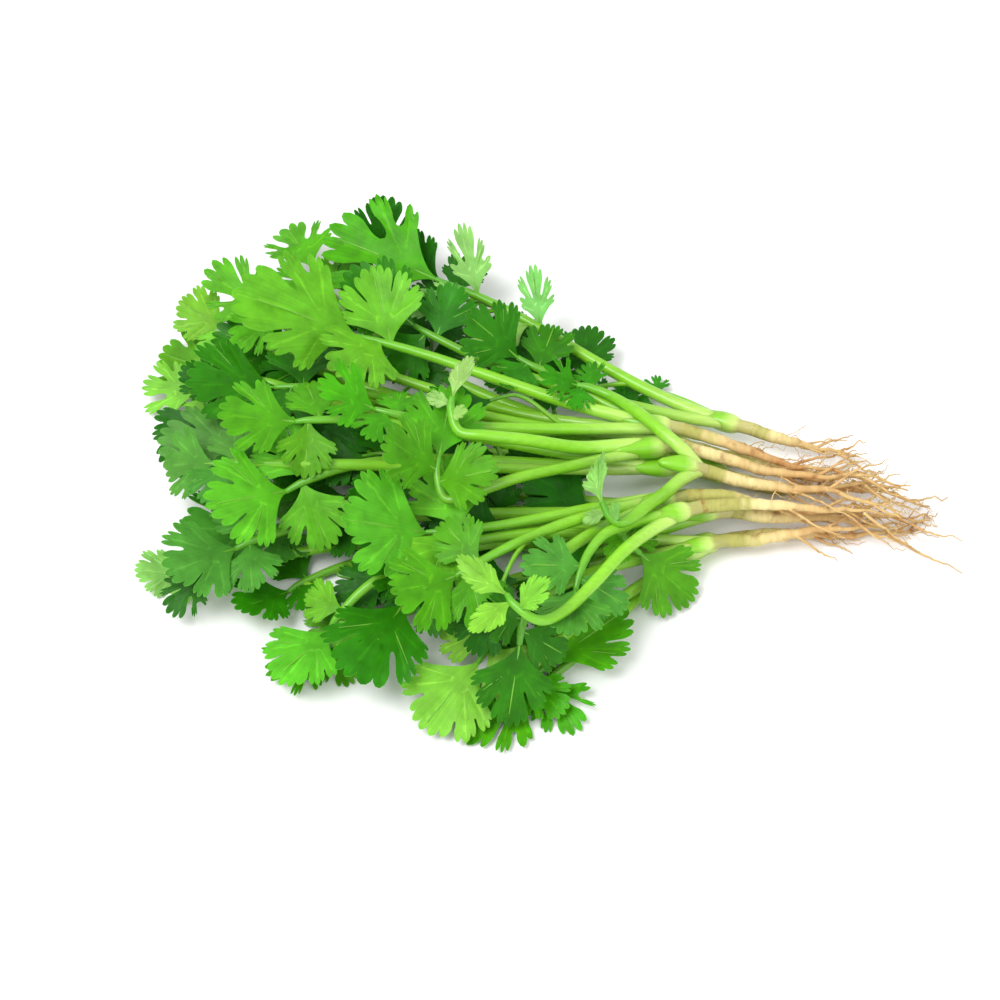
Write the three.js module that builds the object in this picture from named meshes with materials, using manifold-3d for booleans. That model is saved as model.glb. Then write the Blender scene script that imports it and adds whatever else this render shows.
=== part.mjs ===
// A bunch of fresh coriander lying on a table: fourteen whole plants, each with its roots, a short crown
// and two or three long-stemmed leaves. Millimetres, +Z up. +X runs from the leaves to the roots.
// The plants are laid one on another, lowest first: each piece is raised until it clears what lies below.
import * as THREE from "three";
import { mergeVertices } from "three/addons/utils/BufferGeometryUtils.js";
import Module from "manifold-3d";

// ---------------------------------------------------------------- driving dimensions
const BLADE_THICKNESS = 0.7;
const CROWN_RADIUS = 3.1;
const STEM_BASE_RADIUS = 2.0;
const STEM_TIP_RADIUS = 0.95;
const ROOT_RADIUS = 2.6;
const ROOT_TIP_RADIUS = 0.6;
const ROOTLET_RADIUS = 0.55;
const ROOTLETS = 3;
const STEM_SIDES = 3;
const STEM_STEPS = 6;
const STEM_THINNING = 1.15; // a stem reaches its tip radius a little before its end
const STEM_PARTING = 0.9; // how strongly stems leave their crown side by side, before they spread
const STEM_START = 0.38; // share of the way to the leaf over which a stem keeps that direction
const STEM_ARRIVAL = 0.3; // share of the way over which it turns in line with its leaf
const LONGEST_ARRIVAL = 26;
const STEM_BEND = 2.5; // sideways step at each point that a stem can bend by
const STEM_END_SHARE = 0.8; // thickness of the end leaflet's stalk, as a share of the stem's tip
const ROOT_SIDES = 4;
const ROOT_STEPS = 5;
const ROOT_THINNING = 0.7;
const ROOT_SWING = 4; // how far a root may swing to either side
const ROOT_BEND = 2;
const FIRST_ROOTLET = 2; // the point of the root's row where rootlets begin
const ROOTLET_SIDES = 3;
const ROOTLET_STEPS = 2;
const ROOTLET_SHORTEST = 11;
const ROOTLET_VARIES = 11; // so the longest reaches 22
const ROOTLET_SPREAD = 0.25; // least distance sideways, as a share of the length, and how much more
const SPREAD_VARIES = 0.5;
const ROOTLET_DROP = 4;
const ROOTLET_BOW = 2;
const JOINT_GAP = 0.3; // between a plant's green part and its root
const CLEARANCE = 0.45; // between a piece and what it is laid on
const STEM_SINK = 0.4; // how far the lowest stems are pressed flat on the table
const CROWN_SINK = 1.1; // and the lowest crowns
const BLADE_SINK = 0.1;
const CROWN_REACH = 24; // how far either side of a crown its stems and root are looked ahead of
const CROWN_LOOKS = 3; // from one look to the next
const CROWN_SWINGS = [-0.15, 0, 0.15];
const CROWN_SLOPE = 0.4; // rise for each millimetre along, at which a stem can leave its crown
const BUNCH_CENTRE = [0.8, 6.6]; // middle of the bunch's outline, brought to X = Y = 0
const LEAN = 55; // degrees: places are given on a working plane leaned back from the upright by this

// Each plant, lowest first: its crown [x, y, z], where its root ends from there [along, across], and
// its leaves. Each leaf: its hub [along, up, height], the way its end leaflet points on the working
// plane, the way its upper side faces [turn, rise], and the length of its end leaflet. Some also give
// how they are cut, and how they differ from the usual proportions below: their stalk, pairs of side
// leaflets, the side leaflets' length, turn and lift, and how wide end and side leaflets stand.
const PLANTS = [
  {
    crown: [58, -16, 2],
    root: [60, 4],
    leaves: [
      { at: [3, -52, 0.8], point: 214, face: [-8, 78], size: 28, form: "cut" },
      { at: [-60, -42, 0.8], point: 210, face: [-10, 66], size: 21, form: "cut" },
      { at: [-72, -25, 0.8], point: 212, face: [0, 78], size: 22 },
    ],
  },
  {
    crown: [54, -5, 2],
    root: [66, -3],
    leaves: [
      { at: [-105, -22, 1], point: 190, face: [-30, 70], size: 15, form: "young" },
      { at: [-78, -8, 0.8], point: 192, face: [-10, 78], size: 28 },
      { at: [-54, 2, 0.8], point: 190, face: [0, 80], size: 30 },
    ],
  },
  {
    crown: [52, 16, 2],
    root: [56, -12],
    leaves: [
      { at: [-84, 16, 2], point: 175, face: [-30, 75], size: 27 },
      { at: [-56, 34, 0.8], point: 165, face: [10, 78], size: 30 },
      { at: [-96, 39, 4], point: 166, face: [-25, 70], size: 24 },
    ],
  },
  {
    crown: [62, 6, 2],
    root: [58, -10],
    leaves: [
      { at: [-70, 70, 13], point: 118, face: [0, 66], size: 25, form: "cut" },
      { at: [-97, 53, 9], point: 150, face: [-30, 66], size: 18, form: "young" },
      { at: [-72, 42, 6], point: 160, face: [-10, 76], size: 27 },
    ],
  },
  {
    crown: [66, 20, 10],
    root: [34, -6],
    leaves: [
      {
        at: [-21, 66, 15],
        point: 158,
        face: [0, 66],
        size: 41,
        stalk: 13,
        pairs: 2,
        side: 0.56,
        lift: 30,
        tip: 0,
        turn: 54,
        wide: [1, 0.55],
      },
      { at: [-34, 52, 9], point: 150, face: [0, 76], size: 27 },
      { at: [36, 34, 4], point: 172, face: [0, 76], size: 12, form: "fern" },
    ],
  },
  {
    crown: [58, -11, 10],
    root: [54, -1],
    leaves: [
      { at: [-86, -12, 5], point: 204, face: [-15, 66], size: 27 },
      { at: [-60, -34, 4], point: 240, face: [-30, 56], size: 24, form: "young", side: 0.55 },
      { at: [13, -17, 4], point: 192, face: [0, 66], size: 16, form: "fern" },
    ],
  },
  {
    crown: [50, 12, 10],
    root: [57, -14],
    leaves: [
      { at: [-103, 33, 7], point: 172, face: [-40, 61], size: 20, form: "cut" },
      { at: [-82, 56, 11], point: 142, face: [-10, 66], size: 24, form: "cut" },
      { at: [-75, 35, 10], point: 180, face: [-10, 72], size: 30 },
    ],
  },
  {
    crown: [56, -20, 7],
    root: [52, 6],
    leaves: [
      { at: [-3, -52, 3], point: 36, face: [0, 76], size: 28, side: 0.6 },
      { at: [-15, -42, 4], point: 236, face: [-25, 54], size: 28, form: "young", side: 0.7 },
      { at: [-37, -24, 6], point: 240, face: [-8, 62], size: 32, side: 0.6 },
    ],
  },
  {
    crown: [46, 3, 12],
    root: [66, -8],
    leaves: [
      { at: [-93, 11, 6], point: 180, face: [-25, 63], size: 22 },
      { at: [-70, 6, 9], point: 208, face: [-5, 68], size: 31 },
      { at: [-68, 24, 10], point: 185, face: [0, 68], size: 24 },
    ],
  },
  {
    crown: [44, 15, 15],
    root: [56, -16],
    leaves: [
      { at: [-48, 49, 13], point: 166, face: [0, 71], size: 41, side: 0.68, turn: 62 },
      { at: [-2, 42, 9], point: 150, face: [0, 74], size: 24 },
      { at: [-45, 26, 12], point: 165, face: [10, 76], size: 22, form: "cut" },
    ],
  },
  {
    crown: [44, -9, 15],
    root: [61, -5],
    leaves: [
      { at: [-26, -9, 10], point: 184, face: [-5, 68], size: 35, form: "young" },
      { at: [-20, -19, 5], point: 210, face: [0, 68], size: 26 },
      { at: [-6, -36, 4], point: 262, face: [8, 64], size: 24 },
    ],
  },
  {
    crown: [42, 8, 18],
    root: [70, -15],
    leaves: [
      { at: [-31, 7, 11], point: 85, face: [5, 68], size: 25, side: 0.95 },
      {
        at: [-27, 27, 13],
        point: 85,
        face: [-60, 50],
        size: 16,
        form: "young",
        side: 0.5,
        lift: 20,
        wide: [0.5, 0.6],
      },
    ],
  },
  {
    crown: [48, -15, 14],
    root: [62, 2],
    leaves: [
      { at: [25, -12, 4], point: 318, face: [10, 61], size: 24, side: 0.5 },
      { at: [11, -21, 3], point: 255, face: [0, 71], size: 23 },
      {
        at: [-8, -30, 7],
        point: 128,
        face: [-50, 45],
        size: 18,
        form: "young",
        side: 0.85,
        lift: 20,
        turn: 100,
        wide: [0.5, 0.6],
      },
    ],
  },
  {
    crown: [50, -1, 17],
    root: [60, -12],
    leaves: [
      { at: [15, 35, 6], point: 170, face: [0, 66], size: 15, form: "fern" },
      {
        at: [20, -5, 8],
        point: 118,
        face: [-55, 35],
        size: 21,
        form: "young",
        side: 0.4,
        lift: 20,
        wide: [0.45, 0.55],
      },
    ],
  },
];

// How a leaflet is cut: the depth of its two main cuts and of its teeth, and how broad it is.
const FORMS = {
  broad: { cut: 0.36, tooth: 0.14, taper: 1.0 },
  young: { cut: 0.28, tooth: 0.12, taper: 0.9 },
  cut: { cut: 0.5, tooth: 0.22, taper: 1.05 },
  fern: { cut: 0.55, tooth: 0.34, taper: 1.3 },
};
const VEIN_START = 0.26; // where a leaflet's veins part, as a share of its length
const BLADE_REACH = 0.74; // from there to the tip
const MAIN_CUT = 29; // degrees either side of the midrib
// Corners of a leaflet's outline from its left side round the tip: [degrees, share of a tooth's depth].
const CORNERS = [
  [-96, 1.6],
  [-76, 0],
  [-60, 1],
  [-44, 0],
  [-MAIN_CUT, 1],
  [-12, 0],
  [12, 0],
  [MAIN_CUT, 1],
  [44, 0],
  [60, 1],
  [76, 0],
  [96, 1.6],
];
const STAGGER = 1.8; // along the stalk, between a pair's leaflets and the middle of their node
// A leaf's proportions, as shares of its end leaflet's length.
const STALK_SHARE = 0.24;
const PAIR_SHARE = 0.56; // from one pair of side leaflets to the next
const SIDE_SHARE = 0.74; // length of a side leaflet
const SIDE_TURN = 78; // degrees
const NARROW_FOLD = 0.55; // how much further a leaflet folds up as it narrows

// ---------------------------------------------------------------- small helpers
const radians = THREE.MathUtils.degToRad;
const vector = (x, y, z) => new THREE.Vector3(x, y, z);
const ALONG = vector(1, 0, 0);
const UP = vector(0, Math.sin(radians(LEAN)), Math.cos(radians(LEAN)));
const OUT = vector(0, -Math.cos(radians(LEAN)), Math.sin(radians(LEAN)));

// A repeatable row of numbers from 0 to 1.
function dice(seed) {
  let state = (seed * 7919 + 104729) % 4294967296;
  return () => {
    state = (state * 1664525 + 1013904223) % 4294967296;
    return state / 4294967296;
  };
}

// The point at [along, up, height]: up is measured on the working plane, height above the table.
function place([along, up, height]) {
  return vector(along, (up - height * UP.z) / UP.y, height);
}

// ---------------------------------------------------------------- what already lies on the table
const CELL = 1;
const FIELD = { x: -170, y: -150, columns: 330, rows: 290 };
const heights = new Float64Array(FIELD.columns * FIELD.rows).fill(-1e3);

// Calls back with each cell of the field within reach of x, y, and its distance.
function cellsNear(x, y, reach, visit) {
  const span = Math.ceil(reach / CELL);
  const column = Math.floor((x - FIELD.x) / CELL);
  const row = Math.floor((y - FIELD.y) / CELL);
  for (let i = column - span; i <= column + span; i++)
    for (let j = row - span; j <= row + span; j++) {
      const dx = FIELD.x + (i + 0.5) * CELL - x;
      const dy = FIELD.y + (j + 0.5) * CELL - y;
      const away = Math.hypot(dx, dy);
      if (away <= reach) visit(j * FIELD.columns + i, away);
    }
}

const BLADE_MARGIN = 1.3;

function bladeClears(points) {
  const half = BLADE_THICKNESS / 2;
  return points.every((p) => {
    const column = Math.floor((p.x - FIELD.x) / CELL);
    const row = Math.floor((p.y - FIELD.y) / CELL);
    const low = p.z - half;
    return low >= -BLADE_SINK && low - CLEARANCE >= heights[row * FIELD.columns + column];
  });
}

function markBlade(points) {
  for (const p of points)
    cellsNear(p.x, p.y, BLADE_MARGIN, (cell) => {
      heights[cell] = Math.max(heights[cell], p.z + BLADE_THICKNESS / 2);
    });
}

// How far a ball must rise to clear the table, but for how far it may be pressed flat on it, and
// all that lies below it.
function lackOf(at, radius, sink = STEM_SINK) {
  let lack = radius - sink - at.z;
  cellsNear(at.x, at.y, radius + CELL / 2, (cell, away) => {
    const drop = Math.sqrt(Math.max(radius ** 2 - Math.min(away, radius) ** 2, 0));
    lack = Math.max(lack, heights[cell] + CLEARANCE - at.z + drop);
  });
  return lack;
}

function markBall(at, radius, marks) {
  cellsNear(at.x, at.y, radius + CELL, (cell, away) => {
    const off = Math.min(Math.max(away - CELL / 2, 0), radius);
    marks.push([cell, at.z + Math.sqrt(radius ** 2 - off ** 2)]);
  });
}

function settle(marks) {
  for (const [cell, top] of marks) heights[cell] = Math.max(heights[cell], top);
}

// ---------------------------------------------------------------- leaves
// The leaf's own directions: along the end leaflet, to its left, and out of its upper side.
function leafAxes({ point, face }) {
  const [turn, rise] = face.map(radians);
  const out = vector(
    Math.cos(rise) * Math.sin(turn),
    -Math.cos(rise) * Math.cos(turn),
    Math.sin(rise),
  );
  const heading = radians(point);
  const flat = ALONG.clone().multiplyScalar(Math.cos(heading)).addScaledVector(UP, Math.sin(heading));
  const ahead = flat.addScaledVector(OUT, -flat.dot(out) / OUT.dot(out)).normalize();
  return { ahead, out, left: out.clone().cross(ahead) };
}

// One leaflet's own directions: turned in the leaf's plane, then tipped up and rolled.
function leafletAxes(axes, turn, tip, roll) {
  const ahead = axes.ahead.clone().applyAxisAngle(axes.out, turn);
  const left = axes.left.clone().applyAxisAngle(axes.out, turn);
  ahead.applyAxisAngle(left, -tip);
  const out = ahead.clone().cross(left);
  left.applyAxisAngle(ahead, roll);
  out.applyAxisAngle(ahead, roll);
  return { ahead, left, out };
}

// The leaf's leaflets, not yet tipped: one at the end, and one or two pairs at its sides. A leaf that
// is half folded shut gives how wide its end and its side leaflets still stand, as shares.
function leafletsOf(leaf) {
  const roll = dice(leaf.seed);
  const spread = (middle, share) => middle + (roll() * 2 - 1) * share;
  const stalk = leaf.stalk ?? leaf.size * STALK_SHARE;
  const [endWide, sideWide] = leaf.wide ?? [1, 1];
  const make = (back, along, turn, length, lift, wide) => ({
    lift,
    back,
    along,
    length,
    wide,
    turn: radians(turn),
    roll: radians(spread(0, 8)),
    form: FORMS[leaf.form ?? "broad"],
    droop: spread(0.1, 0.08),
    fold: spread(0.1, 0.12) + (1 - wide) * NARROW_FOLD,
    wave: spread(0.05, 0.02),
    phase: spread(3, 3),
  });
  const leaflets = [make(0, stalk, spread(0, 6), leaf.size, leaf.tip ?? LOWEST_TIP, endWide)];
  for (let pair = 0; pair < (leaf.pairs ?? 1); pair++)
    for (const side of [1, -1]) {
      const back = pair * leaf.size * PAIR_SHARE;
      const length = leaf.size * (leaf.side ?? SIDE_SHARE) * spread(1, 0.08);
      const turn = side * spread(leaf.turn ?? SIDE_TURN, 7);
      leaflets.push(make(back, side * STAGGER, turn, length, leaf.lift ?? LOWEST_TIP, sideWide));
    }
  return { leaflets, stalk };
}

// How far a leaflet's edge is from where its veins part, as a share of its length.
function edgeReach(form, degrees, depth) {
  const envelope = BLADE_REACH * Math.cos(radians(degrees / 2)) ** form.taper;
  const main = Math.abs(Math.abs(degrees) - MAIN_CUT) < 1;
  return envelope * (1 - depth * (main ? form.cut : form.tooth));
}

// The point of the leaflet's arched and waved middle surface at x along it and y to its left.
function onBlade(leaflet, x, y) {
  const { base, axes, length, droop, fold, wave, phase } = leaflet;
  const fromVein = x - VEIN_START * length;
  const away = Math.hypot(fromVein, y) / length;
  const ripple = wave * Math.sin(3 * Math.atan2(y, fromVein) + phase) * away;
  const height = length * (-droop * (x / length) ** 2 + (fold * Math.abs(y)) / length + ripple * away);
  return base
    .clone()
    .addScaledVector(axes.ahead, x)
    .addScaledVector(axes.left, y)
    .addScaledVector(axes.out, height);
}

// The middle surface as a fan: where the veins part, then the outline from the base round the tip.
function bladePoints(leaflet) {
  const { form, length, wide } = leaflet;
  const start = VEIN_START * length;
  const points = [onBlade(leaflet, start, 0), onBlade(leaflet, 0, 0)];
  for (const [degrees, depth] of CORNERS) {
    const reach = edgeReach(form, degrees, depth) * length;
    const angle = radians(degrees);
    points.push(onBlade(leaflet, start + reach * Math.cos(angle), wide * reach * Math.sin(angle)));
  }
  return points;
}

const SAMPLE_STEP = 0.9;

// Points spread over the fan's triangles, close enough to feel what lies below.
function sampleBlade(points) {
  const [middle, ...rim] = points;
  const samples = [];
  rim.forEach((a, i) => {
    const b = rim[(i + 1) % rim.length];
    const rings = Math.ceil(Math.max(a.distanceTo(middle), b.distanceTo(middle)) / SAMPLE_STEP);
    const across = Math.ceil(a.distanceTo(b) / SAMPLE_STEP);
    for (let r = 1; r <= rings; r++)
      for (let c = 0; c < across; c++) {
        const edge = a.clone().lerp(b, c / across);
        samples.push(middle.clone().lerp(edge, r / rings));
      }
  });
  return samples;
}

const LEAF_STEP = 1;
const MOST_STEPS = 90;
const LOWEST_TIP = -24; // degrees that a leaflet may be tipped down, and up
const HIGHEST_TIP = 48;
const TIP_STEP = 4;
const TIP_ROOM = 16; // degrees that a leaflet which starts high may still be tipped up

// The point that far back along a stem from its end.
function backAlong(points, distance) {
  let i = points.length - 1;
  let left = distance;
  while (left > points[i].distanceTo(points[i - 1])) {
    left -= points[i].distanceTo(points[i - 1]);
    i--;
  }
  return points[i].clone().lerp(points[i - 1], left / points[i].distanceTo(points[i - 1]));
}

// Tips one leaflet up until it clears the heap, or gives nothing where it can't.
function tipLeaflet(leaflet, stem, axes) {
  const base = backAlong(stem.points, leaflet.back).addScaledVector(axes.ahead, leaflet.along);
  const highest = Math.max(HIGHEST_TIP, leaflet.lift + TIP_ROOM);
  for (let tip = leaflet.lift; tip <= highest; tip += TIP_STEP) {
    const own = leafletAxes(axes, leaflet.turn, radians(tip), leaflet.roll);
    const blade = bladePoints({ ...leaflet, base, axes: own });
    const samples = sampleBlade(blade);
    if (bladeClears(samples)) return { blade, samples };
  }
  return null;
}

// ---------------------------------------------------------------- stems and roots
// A strand is a row of points with a radius at each, joined by straight stretches.
const STRETCH_STEP = 1.2;
const MOST_PASSES = 120;

// Calls back with points close together along the stretch that follows point i.
function alongStretch({ points, radii }, i, visit) {
  const count = Math.ceil(points[i].distanceTo(points[i + 1]) / STRETCH_STEP);
  for (let k = 0; k <= count; k++) {
    const share = k / count;
    visit(
      points[i].clone().lerp(points[i + 1], share),
      THREE.MathUtils.lerp(radii[i], radii[i + 1], share),
      share,
    );
  }
}

// Raises a strand's points, but for its first and, if it is held there, its last, until it clears
// the heap. It bends no more than a stem can, so it bridges what it doesn't rest on. Gives nothing
// where it can't clear.
function layStrand(strand, held, bend) {
  const { points } = strand;
  const last = points.length - 1;
  const free = (i) => i > 0 && (i < last || !held);
  const raise = (i, amount) => {
    if (!free(i) || amount < 1e-3) return false;
    points[i].z += amount;
    return true;
  };
  for (let pass = 0; pass < MOST_PASSES; pass++) {
    let moved = false;
    for (let i = 0; i < last; i++) {
      let [first, second] = [0, 0];
      alongStretch(strand, i, (at, radius, share) => {
        if (i === 0 && at.distanceTo(points[0]) < strand.rooted) return;
        const lack = lackOf(at, radius);
        if (lack <= 0) return;
        first = Math.max(first, lack * (1 - share));
        second = Math.max(second, lack * share);
      });
      moved = raise(i, first) || moved;
      moved = raise(i + 1, second) || moved;
    }
    for (let i = 1; i < last; i++) {
      const sag = (points[i - 1].z + points[i + 1].z) / 2 - points[i].z;
      moved = raise(i, sag - bend) || moved;
      const low = points[i - 1].z < points[i + 1].z ? i - 1 : i + 1;
      moved = raise(low, Math.min(2 * (-sag - bend), points[i].z - points[low].z)) || moved;
    }
    if (!moved) return strand;
  }
  return null;
}

function markStrand(strand, marks) {
  for (let i = 0; i + 1 < strand.points.length; i++)
    alongStretch(strand, i, (at, radius) => markBall(at, radius, marks));
}

// Points along a smooth curve through four guides, with the radius at each.
function strandAlong(guides, steps, radiusAt, rooted) {
  const curve = new THREE.CubicBezierCurve3(...guides);
  const points = curve.getPoints(steps);
  return { points, radii: points.map((_, i) => radiusAt(i / steps)), rooted };
}

const stemRadius = (t) =>
  THREE.MathUtils.lerp(STEM_BASE_RADIUS, STEM_TIP_RADIUS, Math.min(t * STEM_THINNING, 1));
const rootRadius = (t) => THREE.MathUtils.lerp(ROOT_RADIUS, ROOT_TIP_RADIUS, t ** ROOT_THINNING);

// A tapered tube through the points, closed by a flat at each end.
function tube(points, radii, sides) {
  const positions = [];
  let normal = vector(0, 0, 1);
  points.forEach((p, i) => {
    const before = points[Math.max(i - 1, 0)];
    const after = points[Math.min(i + 1, points.length - 1)];
    const ahead = after.clone().sub(before).normalize();
    normal = normal.clone().addScaledVector(ahead, -normal.dot(ahead)).normalize();
    const across = ahead.clone().cross(normal);
    for (let s = 0; s < sides; s++) {
      const angle = (2 * Math.PI * (s + 0.5)) / sides;
      const v = p
        .clone()
        .addScaledVector(normal, -Math.cos(angle) * radii[i])
        .addScaledVector(across, Math.sin(angle) * radii[i]);
      positions.push(v.x, v.y, v.z);
    }
  });
  const index = [];
  for (let i = 0; i + 1 < points.length; i++)
    for (let s = 0; s < sides; s++) {
      const next = (s + 1) % sides;
      const [a, b, c, d] = [i * sides + s, i * sides + next, (i + 1) * sides + s, (i + 1) * sides + next];
      index.push(a, c, b, b, c, d);
    }
  const last = (points.length - 1) * sides;
  for (let s = 1; s + 1 < sides; s++) {
    index.push(0, s, s + 1);
    index.push(last, last + s + 1, last + s);
  }
  return closedGeometry(positions, index);
}

function closedGeometry(positions, index) {
  return new THREE.BufferGeometry()
    .setAttribute("position", new THREE.Float32BufferAttribute(positions, 3))
    .setIndex(index);
}

// A thin blade on both sides of the middle surface, split into triangles alike on both faces.
function bladeGeometry(points) {
  const count = points.length;
  const rim = count - 1;
  const normals = points.map(() => vector(0, 0, 0));
  for (let i = 0; i < rim; i++) {
    const [a, b] = [1 + i, 1 + ((i + 1) % rim)];
    const face = points[a].clone().sub(points[0]).cross(points[b].clone().sub(points[0]));
    for (const v of [0, a, b]) normals[v].add(face);
  }
  const positions = [];
  for (const side of [1, -1])
    points.forEach((p, i) => {
      const v = p.clone().addScaledVector(normals[i].clone().normalize(), (side * BLADE_THICKNESS) / 2);
      positions.push(v.x, v.y, v.z);
    });
  const index = [];
  for (let i = 0; i < rim; i++) {
    const [a, b] = [1 + i, 1 + ((i + 1) % rim)];
    index.push(0, a, b);
    index.push(count, count + b, count + a);
    index.push(a, count + a, b, b, count + a, count + b);
  }
  return closedGeometry(positions, index);
}

// ---------------------------------------------------------------- solids
const wasm = await Module();
wasm.setup();

function solidOf(geometry) {
  const merged = mergeVertices(geometry, 1e-4);
  return new wasm.Manifold(
    new wasm.Mesh({
      numProp: 3,
      vertProperties: merged.attributes.position.array,
      triVerts: new Uint32Array(merged.index.array),
    }),
  );
}

function geometryOf(solid) {
  const mesh = solid.getMesh();
  const positions = [];
  for (let i = 0; i < mesh.numVert; i++)
    positions.push(...mesh.vertProperties.subarray(i * mesh.numProp, i * mesh.numProp + 3));
  return closedGeometry(positions, Array.from(mesh.triVerts));
}

const SMALLEST_DETAIL = 0.03;

// Joins pieces in one body, presses it flat on the table and drops what came loose.
function fuse(pieces) {
  const joined = wasm.Manifold.union(pieces).trimByPlane([0, 0, 1], 0).simplify(SMALLEST_DETAIL);
  return joined.decompose().sort((a, b) => b.volume() - a.volume())[0];
}

// ---------------------------------------------------------------- plants
// How far a crown must rise so that its stems and root can leave it at a gentle slope.
function crownRise(crown) {
  let rise = lackOf(crown, CROWN_RADIUS, CROWN_SINK);
  for (let run = -CROWN_REACH; run <= CROWN_REACH; run += CROWN_LOOKS)
    for (const swing of CROWN_SWINGS) {
      const at = crown.clone().add(vector(run, run * swing, 0));
      rise = Math.max(rise, lackOf(at, STEM_BASE_RADIUS) - CROWN_SLOPE * Math.abs(run));
    }
  return Math.max(rise, 0);
}

// The root and its rootlets, laid from the crown.
function layRoot(plant, crown, seed, marks) {
  const roll = dice(seed);
  const tip = crown.clone().add(vector(...plant.root, 0)).setZ(ROOT_TIP_RADIUS);
  const bend = (roll() * 2 - 1) * ROOT_SWING;
  const guides = [
    crown.clone(),
    crown.clone().lerp(tip, 0.33).add(vector(0, bend, 1)),
    crown.clone().lerp(tip, 0.68).add(vector(0, -bend, 0)),
    tip,
  ];
  const path = strandAlong(guides, ROOT_STEPS, rootRadius, CROWN_RADIUS);
  const main = layStrand(path, false, ROOT_BEND);
  const strands = [main];
  for (let i = 0; i < ROOTLETS; i++) {
    const from = FIRST_ROOTLET + (i % (ROOT_STEPS - FIRST_ROOTLET));
    const base = main.points[from];
    const side = i % 2 ? 1 : -1;
    const length = ROOTLET_SHORTEST + ROOTLET_VARIES * roll();
    const across = side * length * (ROOTLET_SPREAD + SPREAD_VARIES * roll());
    const end = base.clone().add(vector(length, across, 0));
    end.z = Math.max(base.z - ROOTLET_DROP * roll(), ROOTLET_RADIUS);
    const bow = [base.clone(), base.clone().lerp(end, 0.3), base.clone().lerp(end, 0.7), end];
    bow[1].y += side * ROOTLET_BOW;
    const rootlet = strandAlong(bow, ROOTLET_STEPS, () => ROOTLET_RADIUS, main.radii[from] + 0.5);
    strands.push(layStrand(rootlet, false, ROOT_BEND));
  }
  for (const strand of strands) markStrand(strand, marks);
  return strands;
}

// A stem from the crown to its leaf's hub, arriving the way the end leaflet points.
function layStem(crown, hub, axes) {
  const distance = crown.distanceTo(hub);
  const leave = hub.clone().sub(crown).normalize().add(vector(-STEM_PARTING, 0, 0)).normalize();
  const arrive = Math.min(distance * STEM_ARRIVAL, LONGEST_ARRIVAL);
  const guides = [
    crown.clone(),
    crown.clone().addScaledVector(leave, distance * STEM_START),
    hub.clone().addScaledVector(axes.ahead, -arrive),
    hub.clone(),
  ];
  const strand = strandAlong(guides, STEM_STEPS, stemRadius, CROWN_RADIUS + 1);
  return layStrand(strand, true, STEM_BEND);
}

// Raises a leaf out of the heap until its stem can reach it, with each leaflet resting as low as it can.
function layLeaf(leaf, crown) {
  const start = place(leaf.at);
  const axes = leafAxes(leaf);
  const { leaflets, stalk } = leafletsOf(leaf);
  for (let step = 0; step < MOST_STEPS; step++) {
    const hub = start.clone().addScaledVector(OUT, step * LEAF_STEP);
    if (lackOf(hub, STEM_TIP_RADIUS) > 0) continue;
    const stem = layStem(crown, hub, axes);
    if (!stem) continue;
    const tipped = leaflets.map((leaflet) => tipLeaflet(leaflet, stem, axes));
    if (tipped.includes(null)) continue;
    return { stem, tipped, end: hub.clone().addScaledVector(axes.ahead, stalk + 1) };
  }
  throw new Error(`no room for the leaf at ${leaf.at}`);
}

// The tube of a stem, run on along the end leaflet's stalk.
function stemSolid({ stem, end }) {
  const radii = [...stem.radii, STEM_TIP_RADIUS * STEM_END_SHARE];
  return solidOf(tube([...stem.points, end], radii, STEM_SIDES));
}

function crownSolid(at) {
  const ball = new THREE.IcosahedronGeometry(CROWN_RADIUS, 0);
  ball.deleteAttribute("normal");
  ball.deleteAttribute("uv");
  ball.translate(at.x, at.y, at.z);
  return solidOf(ball);
}

function meshOf(name, solid, material) {
  const mesh = new THREE.Mesh(geometryOf(solid), material);
  mesh.name = name;
  return mesh;
}

const leafGreen = new THREE.MeshStandardMaterial({ color: 0x4fae2a, roughness: 0.6, metalness: 0 });
const rootTan = new THREE.MeshStandardMaterial({ color: 0xc8a468, roughness: 0.85, metalness: 0 });

const bunch = new THREE.Group();
bunch.position.set(-BUNCH_CENTRE[0], -BUNCH_CENTRE[1], 0);

PLANTS.forEach((plant, i) => {
  const number = i + 1;
  const name = `plant_${String(number).padStart(2, "0")}`;
  const marks = [];
  const crown = vector(...plant.crown);
  crown.z += crownRise(crown);
  markBall(crown, CROWN_RADIUS, marks);
  const strands = layRoot(plant, crown, number + 100, marks);

  const green = [crownSolid(crown)];
  plant.leaves.forEach((leaf, k) => {
    const laid = layLeaf({ ...leaf, seed: 10 * number + k }, crown);
    markStrand(laid.stem, marks);
    green.push(stemSolid(laid));
    for (const { blade, samples } of laid.tipped) {
      markBlade(samples);
      green.push(solidOf(bladeGeometry(blade)));
    }
  });
  settle(marks);

  const root = strands.map((strand, k) =>
    solidOf(tube(strand.points, strand.radii, k ? ROOTLET_SIDES : ROOT_SIDES)),
  );
  const axis = vector(...plant.root, 0).normalize();
  const at = crown.dot(axis);
  const leafy = fuse(green).trimByPlane(axis.clone().negate().toArray(), -at);
  const rooted = fuse(root).trimByPlane(axis.toArray(), at + JOINT_GAP);
  bunch.add(meshOf(`${name}_leaves`, leafy, leafGreen));
  bunch.add(meshOf(`${name}_root`, rooted, rootTan));
});

export default bunch;
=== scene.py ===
"""A bunch of fresh coriander lying on a pale floor: fourteen whole plants with roots.

The plants are laid one on another by the same rule as the solids, so every leaf and stem lies where
its solid is. Fine leaflets, stems and roots then take the solids' place. Lengths are millimetres
until a mesh is made, and +X runs from the leaves to the roots.
"""
import math

import bpy
import numpy as np
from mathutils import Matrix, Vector
from mathutils.geometry import delaunay_2d_cdt


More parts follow.
